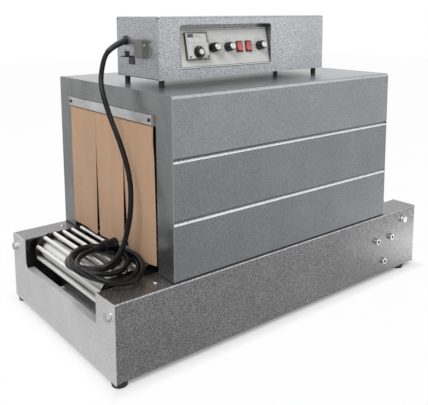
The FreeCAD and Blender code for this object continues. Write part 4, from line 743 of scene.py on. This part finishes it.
def build_rods():
    """Round bars with chamfered ends between the chains."""
    rods = piece("round_rods", "bright_steel")
    bm = bmesh.new()
    end = ROD_RADIUS - ROD_CHAMFER
    for solid in islands("carrier_rods"):
        low, high = limits(solid)
        middle = (low + high) / 2
        half = high.y - middle.y
        turned(bm, [(end, -half), (ROD_RADIUS, ROD_CHAMFER - half),
                    (ROD_RADIUS, half - ROD_CHAMFER), (end, half)],
               facing(mm(*middle), (0, 1, 0)), 20)
    finish_piece(rods, bm)
    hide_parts("carrier_rods")


def screw_profiles(radius, height):
    """A head's rim and its hexagon socket, as (radius, height), both from a screw's seat."""
    if height > TALL_HEAD:
        return ([(radius, 0), (radius, height - 0.7), (radius - 0.7, height),
                 (radius * 0.62, height)],
                [(radius * 0.62, height), (radius * 0.58, height * 0.3)])
    return ([(radius, 0), (radius, height * 0.25), (radius * 0.93, height * 0.62),
             (radius * 0.75, height * 0.9), (radius * 0.5, height)],
            [(radius * 0.5, height), (radius * 0.46, height * 0.25)])


def build_screws():
    """Button-head screws with hexagon sockets, and the gearbox's tall socket heads. Each socket is
    a dark hexagon over the head: painted shade in place of its hollow.
    """
    bright, dark = range(2)
    screws = piece("socket_screws", "zinc", ["zinc", "socket_dark"])
    bm = bmesh.new()
    for solid in islands("small_screws"):
        low, high = limits(solid)
        size = high - low
        # The axis along which the box differs most from its two other sides
        axis = max(range(3), key=lambda a: sum(abs(size[a] - size[(a + b) % 3]) for b in (1, 2)))
        middle = (low + high) / 2
        reaches = []
        for point in solid:
            aside = point - middle
            aside[axis] = 0
            reaches.append(aside.length)
        radius = max(reaches)
        head = [point[axis] for point, reach in zip(solid, reaches) if reach > 0.8 * radius]
        outward = 1 if sum(head) / len(head) > middle[axis] else -1
        base, crown = (min(head), high[axis]) if outward > 0 else (max(head), low[axis])
        height = abs(crown - base)
        depth = size[axis] - height
        seat, direction = middle.copy(), Vector((0, 0, 0))
        seat[axis], direction[axis] = base, outward
        place = facing(mm(*seat), direction)
        shank = SHANK_SHARE * radius
        rim, socket = screw_profiles(radius, height)
        on_bar = abs(seat.x) > BAR_X and seat.z > BAR_Z
        turned(bm, [(shank, -depth), (shank, 0)] + rim, place, 32, dark if on_bar else bright)
        # The socket: a dark hexagon just over the head's top, painted shade in place of the hollow
        turned(bm, [(reach, level + SOCKET_LIFT, hexagon) for reach, level in socket],
               place, 36, dark)
    finish_piece(screws, bm, smooth=30)
    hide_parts("small_screws")


# Tilted control panel, in millimetres: x from its left edge, rise up its face, out from it
PANEL_TILT = math.radians(11.0)
PANEL_ORIGIN = mm(-192.0, -109.25, 478.5)
PANEL_WIDTH, PANEL_HEIGHT = 212.5, 70.0
# The printed border's outer and inner distance from the panel's edge
BORDER_OUTER, BORDER_INNER = 2.0, 2.8
PRINT_DEPTH = 0.08
# Each knob's body and its x
KNOBS = {"upper_heat_knob": ("upper_knob", 75.9), "lower_heat_knob": ("lower_knob", 110.8),
         "speed_knob": ("speed_knob", 188.7)}
KNOB_RISE = 34.6
# A scale's sweep, its ticks' widths, how much shorter the short ones are, and the print's depths
SWEEP = math.radians(270)
LONG_TICK, SHORT_TICK = 0.68, 0.48
SHORT_TICK_CUT = 0.7
TICK_DEPTH, FIGURE_DEPTH = 0.09, 0.04
# Temperature controller: its middle, half width, lower and upper edge, and how far it stands out
CONTROLLER_X = 38.5
CONTROLLER_HALF = 24
CONTROLLER_LOW, CONTROLLER_HIGH = 14.5, 62.5
CONTROLLER_PROUD = 7.6
# Its bezel's width, the white face's upper edge and depth, the corner screws, and the dark
# surround on the bezel's sides, which is painted shade
BEZEL = 2.6
FACE_HIGH, FACE_DEPTH = 43.4, 0.22
CORNER_INSET = 4.6
CORNER_SCREW = ((1.9, 0), (1.9, 0.5), (1.6, 0.8), (0.8, 0.8))
SIDE_SHADE_WIDTH, SIDE_SHADE_DROP = 0.4, 1.6
DIAL_RISE = 27.0
# Its meter: the middle's rise and depth under the front, half sizes, the needle's pivot under the
# middle, and the ticks' angles in degrees and radii
METER_RISE, METER_DEPTH = 52.2, 2.45
METER_HALF_X, METER_HALF_Y = 21, 7.8
METER_PIVOT = -16
METER_TICKS, METER_FIRST, METER_STEP = 17, 30.8, 3.85
METER_TICK_FOOT, LONG_METER_TICK, SHORT_METER_TICK = 18.5, 21.5, 20.4
NEEDLE_ANGLE = 24


def panel_place(x, rise, out=0.0):
    """The frame at a place on the panel, its Z axis out of the panel."""
    across, up = Vector((1, 0, 0)), Vector((0, math.sin(PANEL_TILT), math.cos(PANEL_TILT)))
    outward = across.cross(up)
    place = PANEL_ORIGIN + (across * x + up * rise + outward * out) * MM
    return Matrix.Translation(place) @ Matrix((across, up, outward)).transposed().to_4x4()


def fluted(count, depth):
    """A ring's reach round a grip with flutes cut in it."""
    return lambda angle: 1 - depth * max(0.0, math.cos(count * angle)) ** 3


def lettering(bm, text, size, place, material=0):
    """Raised figures, built from the font's own curves."""
    data = bpy.data.curves.new("figure", "FONT")
    data.body = text
    data.size = size * MM
    data.extrude = FIGURE_DEPTH * MM
    data.resolution_u = 3
    data.align_x = "CENTER"
    data.align_y = "CENTER"
    obj = bpy.data.objects.new("figure", data)
    scene.collection.objects.link(obj)
    mesh = as_mesh(obj)
    mesh.transform(place)
    first = len(bm.faces)
    bm.from_mesh(mesh)
    bm.faces.ensure_lookup_table()
    for face in bm.faces[first:]:
        face.material_index = material
    bpy.data.objects.remove(obj)
    bpy.data.meshes.remove(mesh)
    bpy.data.curves.remove(data)


def scale_marks(bm, x, rise, out, ticks, steps, figures, figure_reach, size, material=0):
    """Ticks and figures round a knob, from lower left clockwise to lower right. Ticks are the
    inner and outer radius of the long ones."""
    inner, outer = ticks
    for index in range(steps + 1):
        angle = SWEEP * (0.5 - index / steps)
        place = panel_place(x, rise, out) @ Matrix.Rotation(angle, 4, "Z")
        is_long = index % (steps // (len(figures) - 1)) == 0
        half = (LONG_TICK if is_long else SHORT_TICK) / 2
        end = outer if is_long else outer - SHORT_TICK_CUT
        block(bm, (-half, inner, 0), (half, end, TICK_DEPTH), place, material)
    for index, figure in enumerate(figures):
        angle = SWEEP * (0.5 - index / (len(figures) - 1))
        spot = (x - figure_reach * math.sin(angle), rise + figure_reach * math.cos(angle))
        lettering(bm, figure, size, panel_place(*spot, out + FIGURE_DEPTH), material)


def bars(bm, spans, depth, material=0):
    """Bars on the panel's face, each between two x and two rises."""
    for (left, right), (low, high) in spans:
        block(bm, (left, low, 0), (right, high, depth), panel_place(0, 0), material)


def build_panel_marks():
    """The printed border, and the scales round the three knobs."""
    marks = piece("panel_marks", "black_plastic", ["dark_print"])
    bm = bmesh.new()
    across = (BORDER_OUTER, PANEL_WIDTH - BORDER_OUTER)
    upward = (BORDER_INNER, PANEL_HEIGHT - BORDER_INNER)
    bars(bm, ((across, (BORDER_OUTER, BORDER_INNER)),
              (across, (PANEL_HEIGHT - BORDER_INNER, PANEL_HEIGHT - BORDER_OUTER)),
              ((BORDER_OUTER, BORDER_INNER), upward),
              ((PANEL_WIDTH - BORDER_INNER, PANEL_WIDTH - BORDER_OUTER), upward)), PRINT_DEPTH)
    for _, x in KNOBS.values():
        scale_marks(bm, x, KNOB_RISE, 0, ticks=(11.0, 13.4), steps=10,
                    figures=[str(value) for value in range(11)], figure_reach=15.4, size=2.7)
    finish_piece(marks, bm)


# The knobs' and the dial's materials, in their order
KNOB_MATERIALS = ["black_plastic", "cap_metal", "white_print"]
BLACK, METAL, WHITE = range(3)


def build_knob(name, body, x):
    """A fluted grip on a skirt, with a large spun metal cap and a white pointer line."""
    knob = piece(name + "_grip", "black_plastic", KNOB_MATERIALS)
    bm = bmesh.new()
    place = panel_place(x, KNOB_RISE, 1.0)
    flutes = fluted(12, 0.1)
    skirt = [(8.6, 0), (9.0, 0.4), (9.0, 2.4), (8.7, 3.0)]
    grip = [(8.6, 2.6, flutes), (8.3, 9.0, flutes), (8.0, 14.4, flutes), (7.6, 15.4, flutes),
            (7.0, 16.0)]
    cap = [(6.3, 15.6), (6.3, 16.3), (6.0, 16.6), (5.3, 16.7), (5.0, 16.45), (4.7, 16.7),
           (2.0, 16.8)]
    turned(bm, skirt, place, 96, BLACK)
    turned(bm, grip, place, 144, BLACK)
    turned(bm, cap, place, 64, METAL)
    block(bm, (-0.45, 6.4, 15.2), (0.45, 7.9, 16.1), place, WHITE)
    block(bm, (-0.35, 2.6, 16.7), (0.35, 5.9, 16.86), place, BLACK)
    finish_piece(knob, bm, body)
    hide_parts(name)


def build_dial():
    """The controller's set-point dial: a dark ring, a fluted grip and a bright cap."""
    dial = piece("set_point_dial", "black_plastic", KNOB_MATERIALS)
    bm = bmesh.new()
    place = panel_place(CONTROLLER_X, DIAL_RISE, CONTROLLER_PROUD + 0.4)
    flutes = fluted(18, 0.06)
    ring = [(11.3, 0), (11.5, 0.3), (11.5, 0.9), (11.1, 1.2)]
    grip = [(8.4, 1.0, flutes), (7.9, 6.8, flutes), (7.2, 7.8, flutes), (6.6, 8.0)]
    cap = [(5.0, 7.8), (5.0, 8.3), (4.7, 8.7), (2.0, 8.8)]
    turned(bm, ring, place, 72, BLACK)
    turned(bm, grip, place, 108, BLACK)
    turned(bm, cap, place, 48, METAL)
    block(bm, (-0.35, 8.6, 1.1), (0.35, 11.2, 1.3), place, WHITE)
    block(bm, (-0.3, 1.8, 8.6), (0.3, 4.6, 8.84), place, BLACK)
    finish_piece(dial, bm, "dial")
    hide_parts("temperature_dial")


def build_controller_face():
    """A white front in the silver bezel, its scale and screws, the meter, and a dark surround on
    the bezel's sides, which is painted shade.
    """
    white, ink, side_shade, red, black = range(5)
    front = piece("controller_front", "controller_grey",
                  ["white_face", "dark_print", "surround_brown", "red_plastic", "black_plastic"])
    bm = bmesh.new()
    left, right = CONTROLLER_X - CONTROLLER_HALF, CONTROLLER_X + CONTROLLER_HALF
    low, high = CONTROLLER_LOW, CONTROLLER_HIGH
    block(bm, (left + BEZEL, low + BEZEL, 0), (right - BEZEL, FACE_HIGH, FACE_DEPTH),
          panel_place(0, 0, CONTROLLER_PROUD), white)
    scale_marks(bm, CONTROLLER_X, DIAL_RISE, CONTROLLER_PROUD + 0.2, ticks=(12.4, 13.8), steps=12,
                figures=["0", "100", "200", "300"], figure_reach=15.9, size=2.5, material=ink)
    for x in (left + CORNER_INSET, right - CORNER_INSET):
        turned(bm, CORNER_SCREW, panel_place(x, low + CORNER_INSET, CONTROLLER_PROUD), 20, black)

    meter = panel_place(CONTROLLER_X, METER_RISE, CONTROLLER_PROUD - METER_DEPTH)
    block(bm, (-METER_HALF_X, -METER_HALF_Y, 0), (METER_HALF_X, METER_HALF_Y, 0.2), meter, white)
    block(bm, (-METER_HALF_X, 1.8, 0.2), (-8, METER_HALF_Y, 0.7), meter, black)
    pivot = meter @ Matrix.Translation((0, METER_PIVOT * MM, 0))
    for index in range(METER_TICKS):
        angle = math.radians(METER_FIRST - METER_STEP * index)
        end = LONG_METER_TICK if index % 4 == 0 else SHORT_METER_TICK
        block(bm, (-0.15, METER_TICK_FOOT, 0.2), (0.15, end, 0.28),
              pivot @ Matrix.Rotation(angle, 4, "Z"), ink)
    needle = pivot @ Matrix.Rotation(math.radians(NEEDLE_ANGLE), 4, "Z")
    block(bm, (-0.2, 9.5, 0.5), (0.2, 20.6, 0.7), needle, red)

    # Dark surround bars on the bezel's four sides: painted shade
    upward = (low - SIDE_SHADE_WIDTH, high + SIDE_SHADE_WIDTH)
    bars(bm, (((left - SIDE_SHADE_WIDTH, left), upward), ((right, right + SIDE_SHADE_WIDTH), upward),
              ((left, right), (low - SIDE_SHADE_WIDTH, low)), ((left, right), (high, high + SIDE_SHADE_WIDTH))),
         CONTROLLER_PROUD - SIDE_SHADE_DROP, side_shade)
    finish_piece(front, bm)


# Curtains, in millimetres: strips hang from hems behind the bars
STRIP_TOP, STRIP_BOTTOM = 392.5, 153.9
STRIP_START, STRIP_PITCH = -150, 100
STRIP_GAP = 0.1
STRIP_COLUMNS, STRIP_ROWS = 36, 72
CLOTH_MIDDLE = 277.0
CLOTH_THICKNESS = 1.0
# How far edges draw in or flare, and the depth of waves, pleats, folds and curled edges
PARTING_LEFT, PARTING_RIGHT, FLARE = 3.2, 3.4, 3.4
DRAWN_TOP, DRAWN_BOTTOM = 2.2, 1.0
WAVE, PLEAT, FOLD, CURL = 2.8, 1.3, 0.5, 2.6
WAVE_PHASES = (2.0, -2.4, -2.4)
# A hem: its top and foot, the rise of its flat layers, its place and their distance from it
HEM_TOP = 410.5
HEM_FOOT = STRIP_TOP + 0.9
HEM_RISE, HEM_STEPS = 16.2, 6
HEM_MIDDLE = 276.3
LAYER_OFFSET = 0.65
HEM_HALF_WIDTH = 149.6
HEM_COLUMNS, HEM_ROWS = 90, 34
WRINKLE, WRINKLES = 0.1, 11


def cloth_skin(bm, columns, rows, point_at):
    """A closed sheet about a surface given by a function of two shares."""
    sides = []
    for lift in (-0.5, 0.5):
        grid = []
        for row in range(rows + 1):
            line = []
            for column in range(columns + 1):
                u, v = column / columns, row / rows
                here = point_at(u, v)
                du = point_at(min(u + 0.01, 1), v) - point_at(max(u - 0.01, 0), v)
                dv = point_at(u, min(v + 0.01, 1)) - point_at(u, max(v - 0.01, 0))
                normal = du.cross(dv).normalized()
                line.append(bm.verts.new((here + normal * CLOTH_THICKNESS * lift) * MM))
            grid.append(line)
        sides.append(grid)
    for grid in sides:
        for upper, lower in zip(grid, grid[1:]):
            for column in range(columns):
                bm.faces.new((upper[column], upper[column + 1],
                              lower[column + 1], lower[column]))
    back, front = sides
    for row in range(rows):
        for column in (0, columns):
            bm.faces.new((back[row][column], back[row + 1][column],
                          front[row + 1][column], front[row][column]))
    for column in range(columns):
        for row in (0, rows):
            bm.faces.new((back[row][column], back[row][column + 1],
                          front[row][column + 1], front[row][column]))


def hump(offset, width):
    """A smooth hump of height 1, by the offset from its middle."""
    return math.exp(-(offset / width) ** 2)


def build_strip(mouth, side, index):
    """A hanging strip. Its edges part from its neighbours' towards the bottom. The first strip's
    outer edge is drawn in, and the last one's flares."""
    first = STRIP_START + STRIP_PITCH * index

    def point_at(u, v):
        drop = v ** 1.2
        parting = max(0, (v - 0.5 + 0.12 * index) / 0.6) ** 1.15
        if index == 0:
            left_in = DRAWN_TOP * hump(v - 0.1, 0.09) + DRAWN_BOTTOM * drop
        else:
            left_in = PARTING_LEFT * parting
        right_out = FLARE * min(1, 3 * v) if index == 2 else -PARTING_RIGHT * parting
        left = first + STRIP_GAP + left_in
        right = first + STRIP_PITCH - STRIP_GAP + right_out
        wave = WAVE * math.sin(TURN * (0.8 * u + 0.15 * v) + WAVE_PHASES[index]) * v
        pleat = (PLEAT * hump(u - 0.13 - 0.2 * index - 0.25 * v, 0.05)
                 * math.exp(-v / 0.22) * min(1, v * 14))
        fold = FOLD * hump(v - 0.62 - 0.2 * (u - 0.5), 0.03) * math.sin(math.pi * u)
        curl = CURL * (abs(2 * u - 1) ** 6) * drop
        return Vector((side * (CLOTH_MIDDLE - wave - fold - curl + pleat),
                       left + (right - left) * u, STRIP_TOP + (STRIP_BOTTOM - STRIP_TOP) * v))
    strip = piece("%s_curtain_%d" % (mouth, index + 1), "curtain_cloth")
    bm = bmesh.new()
    cloth_skin(bm, STRIP_COLUMNS, STRIP_ROWS, point_at)
    finish_piece(strip, bm, body=None, smooth=60)
    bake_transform(strip)
    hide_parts("%s_curtain_strip_%d" % (mouth, index + 1))


def build_hem(mouth, side):
    """The cloth folded double behind the bar, with slight wrinkles."""
    hem = piece("hem_" + mouth, "curtain_cloth")
    levels = [HEM_FOOT + HEM_RISE * k / HEM_STEPS for k in range(HEM_STEPS + 1)]
    profile = [(-LAYER_OFFSET, z) for z in levels]
    profile += [(-0.45, HEM_TOP - 0.5), (0.0, HEM_TOP - 0.3), (0.45, HEM_TOP - 0.5)]
    profile += [(LAYER_OFFSET, z) for z in reversed(levels)]
    spots = [Vector((offset, 0, z)) for offset, z in profile]

    def point_at(u, v):
        reach = v * (len(spots) - 1)
        low = min(int(reach), len(spots) - 2)
        spot = spots[low].lerp(spots[low + 1], reach - low)
        wrinkle = WRINKLE * math.sin(TURN * WRINKLES * u) * math.sin(math.pi * v)
        return Vector((side * (HEM_MIDDLE + spot.x + wrinkle), HEM_HALF_WIDTH * (2 * u - 1),
                       spot.z))
    bm = bmesh.new()
    cloth_skin(bm, HEM_COLUMNS, HEM_ROWS, point_at)
    finish_piece(hem, bm, smooth=60)
    return hem


def build_curtains():
    hems = []
    for mouth, side in (("infeed", -1), ("outfeed", 1)):
        hems.append(build_hem(mouth, side))
        for index in range(3):
            build_strip(mouth, side, index)
    for hem in hems:
        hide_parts("curtain_headers")


# Nodes whose material isn't the one of their slot's name
OTHER_LOOKS = {"rocker_housings": "housing_red", "earth_terminal": "black_plastic",
               "curtain_bars": "bar_metal"}


def paint_nodes():
    """Each CAD node's own material."""
    for row in frame["record"]["subparts"]:
        mesh = nodes[row["node"]].data
        mesh.materials.clear()
        mesh.materials.append(materials[OTHER_LOOKS.get(row["node"], row["material_slot"])])


materials = {name: make(name, **look) for name, (make, look) in LOOKS.items()}
build_camera()
build_studio()
build_cord()
build_rods()
build_screws()
build_panel_marks()
for knob_name, (knob_body, knob_x) in KNOBS.items():
    build_knob(knob_name, knob_body, knob_x)
build_dial()
build_controller_face()
build_curtains()
paint_nodes()
